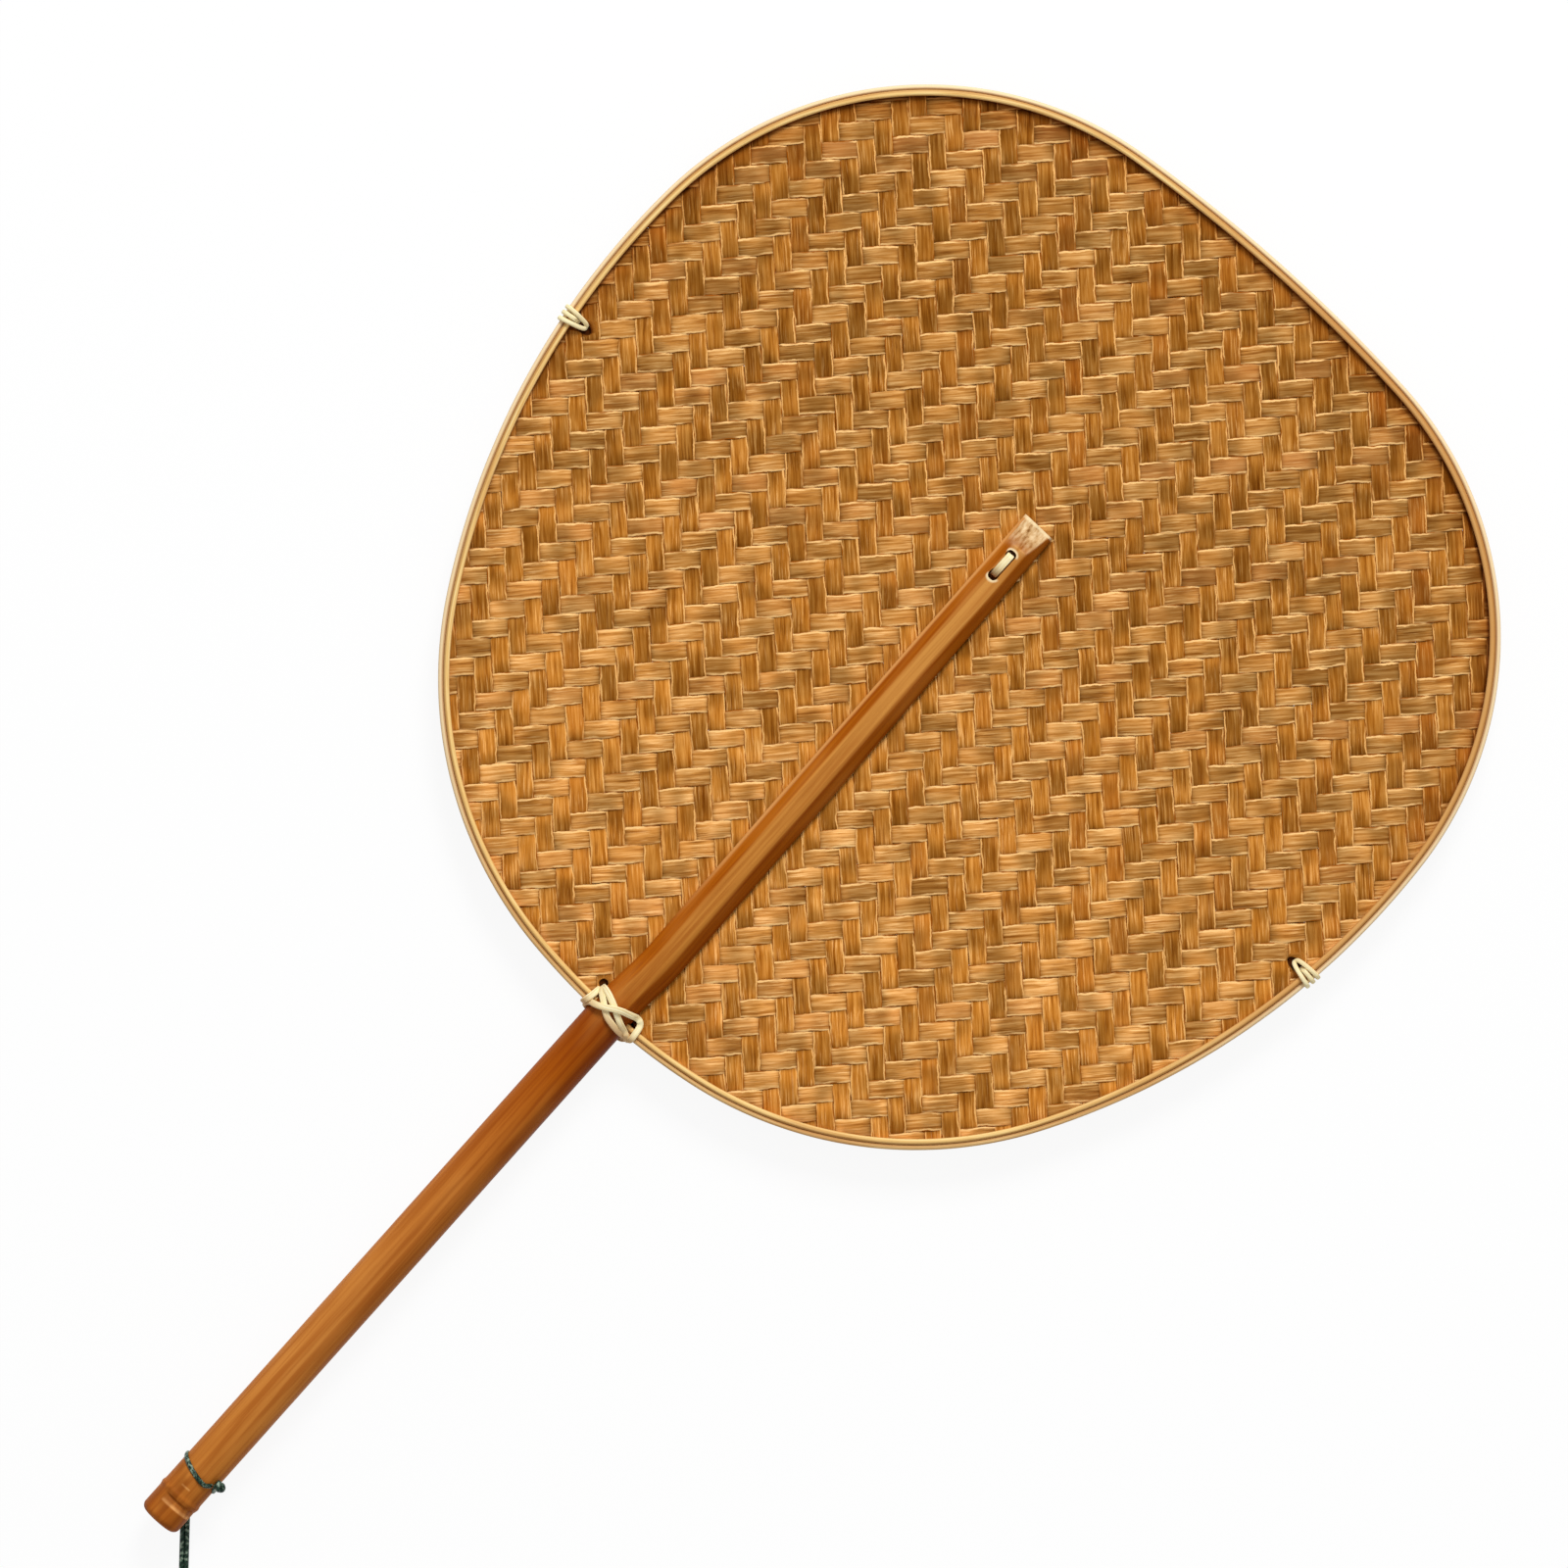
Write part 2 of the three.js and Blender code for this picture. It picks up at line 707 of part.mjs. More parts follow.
function loopCurve() {
  const along = new THREE.Vector2(Math.sin(cordHeading * degree), -Math.cos(cordHeading * degree));
  const across = new THREE.Vector2(-along.y, along.x);
  const points = loopRoute.map(([distance, aside, height]) => {
    const place = loopStart.clone().addScaledVector(along, distance).addScaledVector(across, aside);
    return new THREE.Vector3(place.x, place.y, height - restHeight);
  });
  return new THREE.CatmullRomCurve3(points, false, 'centripetal');
}

function loopGeometry() {
  const section = new THREE.Shape(
    Array.from({ length: cordSides }, (_, corner) => {
      const angle = ((corner + 0.5) / cordSides) * 2 * Math.PI;
      const radius = cordDiameter / 2;
      return new THREE.Vector2(radius * Math.cos(angle), radius * Math.sin(angle));
    }),
  );
  return new THREE.ExtrudeGeometry(section, {
    steps: loopSteps,
    bevelEnabled: false,
    extrudePath: loopCurve(),
  });
}

console.log(`cord_loop: ${loopCurve().getLength().toFixed(1)} mm of cord`);

// Assembly

const bamboo = new THREE.MeshStandardMaterial({ color: 0xa8641f, roughness: 0.45, metalness: 0 });
const weave = new THREE.MeshStandardMaterial({ color: 0xb98440, roughness: 0.6, metalness: 0 });
const hoopBamboo = new THREE.MeshStandardMaterial({ color: 0xe2bd78, roughness: 0.5, metalness: 0 });
const rattan = new THREE.MeshStandardMaterial({ color: 0xf0e2b4, roughness: 0.6, metalness: 0 });
const braid = new THREE.MeshStandardMaterial({ color: 0x14382e, roughness: 0.7, metalness: 0 });

const fan = new THREE.Group();
fan.name = 'bamboo_fan';
fan.position.set(0, (gripLength - bladeHeight) / 2, restHeight);

function addPiece(name, geometry, material) {
  const piece = new THREE.Mesh(geometry, material);
  piece.name = name;
  fan.add(piece);
}

addPiece('handle', geometryOf(handleSolid()), bamboo);
addPiece('woven_panel', panelGeometry(), weave);
addPiece('rim_outer_band', bandGeometry, hoopBamboo);
addPiece('rim_front_strip', frontStripGeometry, hoopBamboo);
addPiece('rim_back_strip', backStripGeometry, hoopBamboo);
addPiece('neck_lashing', geometryOf(neckLashingSolid()), rattan);
addPiece('left_lashing', ringBody(leftLashingRings), rattan);
addPiece('right_lashing', ringBody(rightLashingRings), rattan);
addPiece('tip_tie', ringBody(tieRings), rattan);
addPiece('cord_collar', ringBody(collarRings()), braid);
addPiece('cord_knot', knotGeometry(), braid);
addPiece('cord_loop', loopGeometry(), braid);

export default fan;
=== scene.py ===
import math

import bmesh
import bpy
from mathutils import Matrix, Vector, noise


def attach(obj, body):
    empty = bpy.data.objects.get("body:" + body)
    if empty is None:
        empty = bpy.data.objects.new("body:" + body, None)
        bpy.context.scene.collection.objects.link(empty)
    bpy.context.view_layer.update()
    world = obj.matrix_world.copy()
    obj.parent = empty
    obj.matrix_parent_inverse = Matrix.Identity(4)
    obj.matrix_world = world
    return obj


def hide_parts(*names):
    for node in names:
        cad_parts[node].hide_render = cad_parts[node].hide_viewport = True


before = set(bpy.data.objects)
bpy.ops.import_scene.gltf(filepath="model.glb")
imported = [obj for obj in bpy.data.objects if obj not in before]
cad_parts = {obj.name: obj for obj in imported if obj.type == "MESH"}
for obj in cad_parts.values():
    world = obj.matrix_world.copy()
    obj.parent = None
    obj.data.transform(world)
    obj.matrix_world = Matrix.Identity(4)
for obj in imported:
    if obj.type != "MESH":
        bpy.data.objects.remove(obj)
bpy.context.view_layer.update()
scene = bpy.context.scene
scene.view_settings.view_transform = "Standard"


# The table, the light and the camera. The fan lies front up on a white table, under one wide lamp beyond
# its crown and even light from all round. It is seen from straight above, with the butt at the lower left.

TABLE_SIZE = 12.0
TABLE_DROP = 0.0001
TABLE_GREY = (0.9, 0.9, 0.9, 1)
TABLE_WHITE = 1.01
TABLE_GLOW = 0.9  # share of the table's look that is plain white; the rest keeps the shadow
LOOK_AT = Vector((-0.00645, 0.03382, 0.00855))
VIEW_TURN = math.radians(41.79)
PICTURE_WIDTH = 0.4275
LENS = 200.0
SENSOR = 36.0
WHITE = (1, 1, 1, 1)
ROOM_LIGHT = 0.46
LAMP_POWER = 50.0
LAMP_SIZE = 0.9
LAMP_DISTANCE = 2.5
LAMP_DIRECTION = Vector((-0.45, 0.88, 0.82)).normalized()


def put(name, data):
    """An object in the scene, at the origin."""
    thing = bpy.data.objects.new(name, data)
    scene.collection.objects.link(thing)
    return thing


def add_node(kind, feeds=None, tree=None, **settings):
    """A node fed by values or by other nodes' sockets, in the tree of these sockets or in a given one."""
    feeds = feeds or {}
    sockets = {name: value for name, value in feeds.items() if isinstance(value, bpy.types.NodeSocket)}
    tree = tree or next(iter(sockets.values())).id_data
    node = tree.nodes.new(kind)
    for name, value in settings.items():
        setattr(node, name, value)
    for name, value in feeds.items():
        if name in sockets:
            tree.links.new(value, node.inputs[name])
        else:
            node.inputs[name].default_value = value
    return node


def result(kind, feeds=None, tree=None, **settings):
    """What a new node gives at its first socket."""
    return add_node(kind, feeds, tree, **settings).outputs[0]


def reckon(operation, first, second=0.0):
    return result("ShaderNodeMath", {0: first, 1: second}, operation=operation)


def times(first, *others):
    for other in others:
        first = reckon("MULTIPLY", first, other)
    return first


table_finish = bpy.data.materials.new("white_table")
table_finish.use_nodes = True
table_tree = table_finish.node_tree
table_tree.nodes.clear()
rays = add_node("ShaderNodeLightPath", tree=table_tree).outputs
in_gloss = reckon("MAXIMUM", rays["Is Glossy Ray"], rays["Is Transmission Ray"])
looked_at = reckon("MAXIMUM", rays["Is Camera Ray"], in_gloss)
table_lit = result("ShaderNodeBsdfDiffuse", {"Color": TABLE_GREY}, table_tree)
table_glow = result("ShaderNodeEmission", {"Strength": TABLE_WHITE}, table_tree)
table_look = result("ShaderNodeMixShader", {0: times(looked_at, TABLE_GLOW), 1: table_lit, 2: table_glow})
add_node("ShaderNodeOutputMaterial", {"Surface": table_look})

table_mesh = bpy.data.meshes.new("table")
table_half = TABLE_SIZE / 2
table_corners = [
    (x * table_half, y * table_half, -TABLE_DROP) for x, y in ((-1, -1), (1, -1), (1, 1), (-1, 1))
]
table_mesh.from_pydata(table_corners, [], [(0, 1, 2, 3)])
table_mesh.materials.append(table_finish)
table = put("table", table_mesh)

scene.world = bpy.data.worlds.new("room")
scene.world.use_nodes = True
room_tree = scene.world.node_tree
room_tree.nodes.clear()
room_light = result("ShaderNodeBackground", {"Color": WHITE, "Strength": ROOM_LIGHT}, room_tree)
room_white = result("ShaderNodeBackground", {"Color": WHITE, "Strength": TABLE_WHITE}, room_tree)
room_seen = add_node("ShaderNodeLightPath", tree=room_tree).outputs["Is Camera Ray"]
room_look = result("ShaderNodeMixShader", {0: room_seen, 1: room_light, 2: room_white})
add_node("ShaderNodeOutputWorld", {"Surface": room_look})

lamp_data = bpy.data.lights.new("wide_lamp", "AREA")
lamp_data.energy = LAMP_POWER
lamp_data.size = LAMP_SIZE
lamp = put("wide_lamp", lamp_data)
lamp.location = LOOK_AT + LAMP_DIRECTION * LAMP_DISTANCE
lamp.rotation_euler = LAMP_DIRECTION.to_track_quat("Z", "Y").to_euler()

camera_data = bpy.data.cameras.new("camera")
camera_data.lens = LENS
camera_data.sensor_width = SENSOR
camera = put("camera", camera_data)
camera.location = LOOK_AT + Vector((0, 0, PICTURE_WIDTH * LENS / SENSOR))
camera.rotation_euler = (0, 0, VIEW_TURN)
scene.camera = camera


# The handle is one bamboo rod, oiled. The grip is round, with a node's groove near the butt. Above the neck
# it is sawn into a front and a back leaf, planed to eight flats and shaved thin at the tip.

MM = 0.001
NECK_Y = -46.324  # the rim's outer edge on the axis, where the sizes along the handle start
MIDDLE_Z = 8.55  # the panel's middle, above the table
GRIP_LENGTH = 183.3
GRIP_RADIUS = 6.13
GRIP_RIDGE = (math.radians(97), math.radians(9), 0.09)  # place round the grip, spread and height
BUTT_ROUNDING = 2.0
NODE_FROM_BUTT = 7.8  # the node is cut down in a step, and the cut slopes out again towards the butt
NODE_STEP = 0.55
NODE_SLOPE = 2.5
NODE_DEPTH = 0.62
NODE_SIDES = ((-15, 30), (128, 104))  # degrees round the grip over which the cut fades out
NODE_SWELL = (0.28, 1.5, 0.8)  # height, how far above the step, and spread
NODE_NEAR = (0.4, 3.0)  # how far below and above the cut the rod's sections lie close together
NICK = (-0.3, -170.9)  # a small nick in the grip's front, above the node
LEAF_LENGTH = 178.7
LEAF_FLATS = 8
LEAF_APOTHEM = 5.75
LEAF_CORNER = 6.05
LEAF_NARROWED = (0.985, 0.87)  # the leaves' width by their thickness, at the neck and at the tip
PLANED_FROM = 3.4
PLANED_TO = 9.4
BEND_TO = 24.0
LEAF_ASIDE = 1.45  # the rod bends at the neck, so the leaves start to the right and lean to the left
LEAF_LEAN = 0.0163
HAND_WORK = ((0.05, 2.2, 34), (0.02, 9, 12))  # unevenness: height, waves over the width, length of one
TIP_SHAVE = 8.5
TIP_HALF = 3.4
TIP_SKEW = (0.03, 3.0)  # slope of the tip's end, and over what length it comes
GOUGE_DEPTH = 0.3
GOUGE_WAVES = (0.9, 0.3, 3.0)  # across and along, and where in the noise they are taken
SLIT_HALF = 1.0
RIM_SEAT = (-0.3, 3.5, 2.9)  # its ends along the handle and half its height
SAW_PAST = 3.0  # how far a cut runs out of the rod
TIE_X = -1.9
TIE_LEGS = (160.75, 167.55)  # where the tie's strap goes down into its two slots
TIE_SLOTS = ((159.1, 162.3), (166.2, 168.95))  # from and to, up the leaf
TIE_HALF_WIDTH = 1.45
TIE_CORNERS = 0.75
TIE_RECESS = (1.12, 1.42)  # from its middle to the left and to the right
TIE_FLOOR = 4.85
TIE_CUT_TO = 8.0  # outside the rod, in front and behind
HANDLE_SIDES = 80
PEG_SIDES = 24
CREASE = 30  # degrees; edges that turn more are kept crisp


def place(x, y, z):
    """A point given from the neck and the panel's middle, in millimetres, in the part's frame."""
    return Vector((x, y + NECK_Y, z + MIDDLE_Z)) * MM


def level(y):
    """How far up the part's frame a place along the handle is."""
    return (NECK_Y + y) * MM


def ease(low, high, value):
    share = min(max((value - low) / (high - low), 0.0), 1.0)
    return share * share * (3 - 2 * share)


def leaf_shift(y):
    return LEAF_ASIDE * ease(PLANED_FROM, BEND_TO, y) - LEAF_LEAN * max(0.0, y - PLANED_FROM)


def handle_ring(y):
    """The rod's section: round, with the butt's rounding and the node's cut, then planed, then shaved."""
    from_butt = y + GRIP_LENGTH
    planed = ease(PLANED_FROM, PLANED_TO, y)
    rounding = max(0.0, BUTT_ROUNDING - from_butt)
    trim = BUTT_ROUNDING - math.sqrt(BUTT_ROUNDING ** 2 - rounding ** 2)
    below_step = NODE_FROM_BUTT - from_butt
    node = NODE_DEPTH * ease(-NODE_STEP, 0.0, below_step) * (1 - min(max(below_step / NODE_SLOPE, 0.0), 1.0))
    swell_height, swell_above, swell_spread = NODE_SWELL
    swell = swell_height * math.exp(-((below_step + swell_above) / swell_spread) ** 2)
    shaved = LEAF_APOTHEM - (LEAF_APOTHEM - TIP_HALF) * max(0.0, 1 - (LEAF_LENGTH - y) / TIP_SHAVE)
    narrowed = LEAF_NARROWED[0] + (LEAF_NARROWED[1] - LEAF_NARROWED[0]) * max(0.0, y / LEAF_LENGTH) ** 3
    narrowed = 1 + (narrowed - 1) * ease(PLANED_FROM, BEND_TO, y)
    skewed = ease(LEAF_LENGTH - TIP_SKEW[1], LEAF_LENGTH, y)
    half_flat = math.pi / LEAF_FLATS
    ridge_place, ridge_spread, ridge_height = GRIP_RIDGE
    ring = []
    for side in range(HANDLE_SIDES):
        angle = side / HANDLE_SIDES * 2 * math.pi
        across, up = math.cos(angle), math.sin(angle)
        off_flat = (angle + half_flat) % (2 * half_flat) - half_flat
        flat = min(LEAF_APOTHEM / math.cos(off_flat), LEAF_CORNER)
        ridge = ridge_height * math.exp(-((angle - ridge_place) / ridge_spread) ** 2)
        turned = math.degrees(angle) - (360 if angle > 1.5 * math.pi else 0)
        cut = node * ease(*NODE_SIDES[0], turned) * ease(*NODE_SIDES[1], turned)
        worked = sum(
            height * noise.noise((across * waves, up * waves, y / run)) for height, waves, run in HAND_WORK
        )
        reach = GRIP_RADIUS + ridge + (flat - GRIP_RADIUS - ridge) * planed - trim - cut + swell + worked
        x, z = reach * across * narrowed, reach * up
        if y > LEAF_LENGTH - TIP_SHAVE:
            gouge = noise.noise((x * GOUGE_WAVES[0], y * GOUGE_WAVES[1], GOUGE_WAVES[2]))
            z = min(max(z, -shaved), shaved + (GOUGE_DEPTH * gouge - GOUGE_DEPTH / 2))
        ring.append(place(x + leaf_shift(y), y - TIP_SKEW[0] * x * skewed, z))
    return ring


def skin(rings, loop=False):
    """Points and faces of a tube through rings of points, capped at its ends or joined end to start."""
    count = len(rings[0])
    points = [point for ring in rings for point in ring]
    faces = []
    for bay in range(len(rings) if loop else len(rings) - 1):
        near, far = bay * count, (bay + 1) % len(rings) * count
        for side in range(count):
            following = (side + 1) % count
            faces.append((near + side, near + following, far + following, far + side))
    if not loop:
        faces.append(tuple(range(count - 1, -1, -1)))
        faces.append(tuple(range(len(points) - count, len(points))))
    return points, faces


def piece_from(name, points, faces, finish, crease=CREASE):
    """A piece at the origin, with faces turned outwards and edges sharper than the crease kept crisp."""
    mesh = bpy.data.meshes.new(name)
    mesh.from_pydata(points, [], faces)
    shape = bmesh.new()
    shape.from_mesh(mesh)
    bmesh.ops.recalc_face_normals(shape, faces=shape.faces)
    shape.to_mesh(mesh)
    shape.free()
    mesh.shade_smooth()
    mesh.set_sharp_from_angle(angle=math.radians(crease))
    mesh.materials.append(finish)
    return put(name, mesh)


def settle(piece):
    """The piece's live modifiers become its plain mesh."""
    shown = piece.evaluated_get(bpy.context.evaluated_depsgraph_get())
    mesh = bpy.data.meshes.new_from_object(shown)
    piece.modifiers.clear()
    old = piece.data
    piece.data = mesh
    bpy.data.meshes.remove(old)
    mesh.name = piece.name


def cut_away(piece, points, faces, solver):
    """What is inside the closed shape of these points and faces is taken out of the piece."""
    tool = piece_from("tool", points, faces, piece.data.materials[0])
    cut = piece.modifiers.new("cut", "BOOLEAN")
    cut.operation = "DIFFERENCE"
    cut.solver = solver
    cut.object = tool
    settle(piece)
    bpy.data.meshes.remove(tool.data)


def peg(x, y, half_wide, half_high, low, high, corners=1.0):
    """Points and faces of an upright oval peg; corners below 1 make it squarer."""
    rings = []
    for height in (low, high):
        ring = []
        for side in range(PEG_SIDES):
            angle = side / PEG_SIDES * 2 * math.pi
            across = math.copysign(abs(math.cos(angle)) ** corners, math.cos(angle))
            along = math.copysign(abs(math.sin(angle)) ** corners, math.sin(angle))
            ring.append(place(x + half_wide * across, y + half_high * along, height))
        rings.append(ring)
    return skin(rings)


def saw_out(piece, low, high):
    """A square-cornered cut between two corners, as by saw and chisel."""
    sides = list(zip(low, high))
    corners = [place(x, y, z) for x in sides[0] for y in sides[1] for z in sides[2]]
    faces = [(0, 1, 3, 2), (4, 6, 7, 5), (0, 4, 5, 1), (2, 3, 7, 6), (0, 2, 6, 4), (1, 5, 7, 3)]
    cut_away(piece, corners, faces, "EXACT")


def paint(*steps):
    """A colour in steps of 255 as seen, turned into the linear light that a shader takes."""
    linear = []
    for step in steps:
        share = step / 255
        linear.append(((share + 0.055) / 1.055) ** 2.4 if share > 0.04 else share / 12.92)
    return (*linear, 1)


def blend(share, first, second, mode="MIX"):
    """A share of a second colour, given as seen or by a socket, over a first one."""
    over = paint(*second) if isinstance(second, tuple) else second
    node = add_node("ShaderNodeMix", {0: share, 6: first, 7: over}, data_type="RGBA", blend_type=mode)
    return node.outputs[2]


def ramp(value, stops):
    """A run of colours along a value from 0 to 1."""
    node = add_node("ShaderNodeValToRGB", {0: value})
    band = node.color_ramp.elements
    while len(band) < len(stops):
        band.new(0.5)
    for element, (position, *seen) in zip(band, stops):
        element.position = position
        element.color = paint(*seen)
    return node.outputs[0]


def span(value, low, high, start=0.0, stop=1.0):
    """A value that eases from start to stop while another goes from low to high."""
    feeds = {"Value": value, "From Min": low, "From Max": high, "To Min": start, "To Max": stop}
    return result("ShaderNodeMapRange", feeds, interpolation_type="SMOOTHSTEP")


def split(vector):
    return add_node("ShaderNodeSeparateXYZ", {0: vector}).outputs


def stretch(vector, scale):
    return result("ShaderNodeVectorMath", {0: vector, 1: scale}, operation="MULTIPLY")


def fibres(vector, scale, detail, roughness=0.6, distortion=0.0):
    """A noise drawn out along the grain: scale is how close its spots are in each direction."""
    return result("ShaderNodeTexNoise", {
        "Vector": stretch(vector, scale), "Scale": 1.0, "Detail": detail, "Roughness": roughness,
        "Distortion": distortion,
    })


def off_middle(value, middle):
    """How far a place is from a middle, on either side."""
    return reckon("ABSOLUTE", reckon("SUBTRACT", value, middle * MM))


def oval_reach(part, x, y, half_wide, half_high):
    """How far a place is from an oval's middle: 1 on the oval, more outside it."""
    offset = result("ShaderNodeVectorMath", {0: part, 1: place(x, y, 0)}, operation="SUBTRACT")
    scaled = stretch(offset, (1 / (half_wide * MM), 1 / (half_high * MM), 0))
    return add_node("ShaderNodeVectorMath", {0: scaled}, operation="LENGTH").outputs["Value"]


def new_finish(name, specular):
    """A material, its shader and the part's own coordinates."""
    finish = bpy.data.materials.new(name)
    finish.use_nodes = True
    shader = finish.node_tree.nodes["Principled BSDF"]
    shader.inputs["Specular IOR Level"].default_value = specular
    return finish, shader, add_node("ShaderNodeTexCoord", tree=finish.node_tree).outputs["Object"]


def dress(shader, colour, streak, roughness, height, depth, strength):
    """Colour, roughness that follows the streaks, and relief come together on the shader."""
    feeds = {
        "Base Color": colour, "Roughness": span(streak, 0.3, 0.7, *roughness),
        "Normal": result("ShaderNodeBump", {"Strength": strength, "Distance": depth, "Height": height}),
    }
    for name, socket in feeds.items():
        shader.id_data.links.new(socket, shader.inputs[name])


handle_finish, shader, part = new_finish("oiled_bamboo", 0.06)
across, along, up = split(part)
front = off_middle(up, MIDDLE_Z)
streak = fibres(part, (700, 16, 700), 4.0, 0.6, 0.4)
fine = fibres(part, (3600, 70, 3600), 3.0)
patch = fibres(part, (140, 30, 140), 2.0, 0.5)
butt_y = level(-GRIP_LENGTH)
tip_y = level(LEAF_LENGTH)
length = result("ShaderNodeMapRange", {"Value": along, "From Min": butt_y, "From Max": tip_y})
# The oiled skin's tone along the rod. Its dark dip round the neck is painted shade under the lashing and the
# leaves.
skin_colour_with_neck_shade = ramp(length, [
    (0.0, 178, 98, 28), (0.05, 196, 120, 46), (0.16, 208, 134, 60), (0.34, 194, 116, 44),
    (0.45, 170, 86, 10), (0.5, 154, 72, 2), (0.53, 174, 92, 8), (1.0, 180, 100, 14),
])
planed_colour = ramp(length, [(0.5, 194, 122, 46), (0.7, 206, 138, 60), (1.0, 212, 148, 72)])
flat_share = times(span(front, 0.0053, 0.0057), span(along, -0.044, -0.034))
colour = blend(flat_share, skin_colour_with_neck_shade, planed_colour)
colour = blend(span(streak, 0.34, 0.66, 1.0, 0.0), colour, (222, 202, 180), "MULTIPLY")
colour = blend(span(patch, 0.45, 0.75, 0.0, 0.3), colour, (214, 142, 66))
colour = blend(span(fine, 0.58, 0.78, 0.0, 0.3), colour, (128, 66, 18))
# Painted shade: the rod's right side is darkened, more on the leaves than on the grip.
right_side_shade = times(span(across, 0.0008, 0.0042), span(along, -0.2, -0.12, 0.25, 0.85))
colour = blend(right_side_shade, colour, (220, 212, 184), "MULTIPLY")
# Painted highlight: a pale line along the leaves' left side face, above the neck.
left_side_highlight = times(
    span(front, 0.0027, 0.0036, 0.8, 0.0), span(across, -0.0034, -0.0042), span(along, -0.02, 0.02)
)
colour = blend(left_side_highlight, colour, (232, 170, 100))

shave_lean = times(reckon("SUBTRACT", along, tip_y), 0.16)
shave_share = times(
    span(along, tip_y - 0.0105, tip_y - 0.003), span(front, 0.0030, 0.0034),
    span(reckon("SUBTRACT", across, shave_lean), 0.0023, 0.003, 1.0, 0.0),
)
shaved_colour = ramp(fibres(part, (800, 260, 800), 3.0), [
    (0.32, 140, 92, 42), (0.45, 206, 162, 108), (0.64, 240, 208, 160),
])
colour = blend(shave_share, colour, shaved_colour)
tip_edge = span(along, tip_y - 0.0011, tip_y - 0.0005, 0.0, 0.7)
colour = blend(tip_edge, colour, (250, 226, 178))

tie_middle = (TIE_SLOTS[0][0] + TIE_SLOTS[1][1]) / 2
tie_slots = [(TIE_X, (low + high) / 2, TIE_HALF_WIDTH, (high - low) / 2) for low, high in TIE_SLOTS]
from_tie = off_middle(along, tie_middle + NECK_Y)
lip_share = times(span(from_tie, 0.0034, 0.0044), span(front, 0.0052, 0.0056))
for slot in tie_slots:
    lip = times(span(oval_reach(part, *slot), 1.2, 1.65, 0.95, 0.0), lip_share)
    colour = blend(lip, colour, (250, 224, 176))

nick = times(
    span(off_middle(along, NECK_Y + NICK[1]), 0.0001, 0.0004, 0.7, 0.0),
    span(off_middle(across, NICK[0]), 0.0011, 0.0017, 1.0, 0.0),
)
colour = blend(nick, colour, (232, 164, 92))
node_half = NODE_SLOPE / 2
node_y = NECK_Y - GRIP_LENGTH + NODE_FROM_BUTT - node_half
# Painted highlight: a pale band on the node's cut slope on the rod's front, strongest towards the butt.
node_cut_highlight = times(
    span(off_middle(along, node_y), node_half * 0.6 * MM, node_half * MM, 1.0, 0.0),
    span(across, -0.0034, -0.0026),
    span(reckon("SUBTRACT", node_y * MM, along), -0.0003, 0.0008, 0.1, 0.95),
)
colour = blend(node_cut_highlight, colour, (246, 176, 104))
# Patchy darker colour on the grip below the cord ring.
dark_patches_below_collar = span(fibres(part, (330, 90, 330), 1.0, 0.5), 0.42, 0.62, 0.5, 0.0)
dark_patches_below_collar = times(dark_patches_below_collar, span(along, -0.214, -0.211, 1.0, 0.0))
colour = blend(dark_patches_below_collar, colour, (136, 68, 14))
dress(shader, colour, streak, (0.38, 0.52), reckon("ADD", fine, streak), 0.00005, 0.5)

reached = -GRIP_LENGTH
node_above = reached + NODE_FROM_BUTT
handle_stations = []
for stop, step in (  # the sections lie closer where the rod's shape changes quickly
    (reached + BUTT_ROUNDING, 0.15), (node_above - NODE_SLOPE - NODE_NEAR[0], 0.6),
    (node_above + NODE_STEP + NODE_NEAR[1], 0.14), (PLANED_FROM, 2.0), (BEND_TO, 0.7),
    (LEAF_LENGTH - TIP_SHAVE, 2.0), (LEAF_LENGTH, 0.3),
):
    count = max(1, round((stop - reached) / step))
    handle_stations += [reached + (stop - reached) * index / count for index in range(count)]
    reached = stop
points, faces = skin([handle_ring(y) for y in handle_stations + [LEAF_LENGTH]])
handle = piece_from("handle_rod", points, faces, handle_finish)
aside = GRIP_RADIUS + SAW_PAST
seat_low, seat_high, seat_half = RIM_SEAT
saw_out(handle, (-aside, seat_low, -seat_half), (aside, seat_high, seat_half))
saw_out(handle, (-aside, seat_low, -SLIT_HALF), (aside, LEAF_LENGTH + SAW_PAST, SLIT_HALF))
for slot in tie_slots:
    cut_away(handle, *peg(*slot, -TIE_CUT_TO, TIE_CUT_TO, TIE_CORNERS), "EXACT")
recess = (TIE_X - TIE_RECESS[0], TIE_LEGS[0], TIE_FLOOR)
saw_out(handle, recess, (TIE_X + TIE_RECESS[1], TIE_LEGS[1], TIE_CUT_TO))
handle.data.set_sharp_from_angle(angle=math.radians(CREASE))
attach(handle, "root")
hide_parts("handle")


# The panel is woven from thin split bamboo strips at 45 degrees to the handle, two over and two under, each
# row one strip further on. The paler strips lie across the picture and the redder ones up it. The panel goes
# through the handle's slit, and the rim clamps its edge.

BENDS = ((189.0, 8.5), (113.5, 51.2), (214.5, 34.0), (101.4, 80.2))  # radius and turn, from the neck up
CROWN_TURN = 6.1
PANEL_INSET = 2.0
WEAVE_CENTRE = Vector((-1.59, 86.8, MIDDLE_Z)) * MM
PALE_TURN = math.radians(46.0)
DARK_TURN = math.radians(134.62)
PALE_SPACING = 4.93  # from one pale strip to the next, along the dark ones
DARK_SPACING = 4.84
PALE_WIDTH = 5.05
DARK_WIDTH = 4.97
PALE_START = -0.5  # where the middle strip is in the twill's round of four crossings
DARK_START = 2.5
HOLES = (  # their middles, half widths and half heights
    (-6.9, 6.9, 1.25, 1.25), (6.9, 4.0, 1.15, 1.15), (-130.5, 136.5, 2.9, 1.5), (130.5, 136.4, 2.9, 1.5),
)
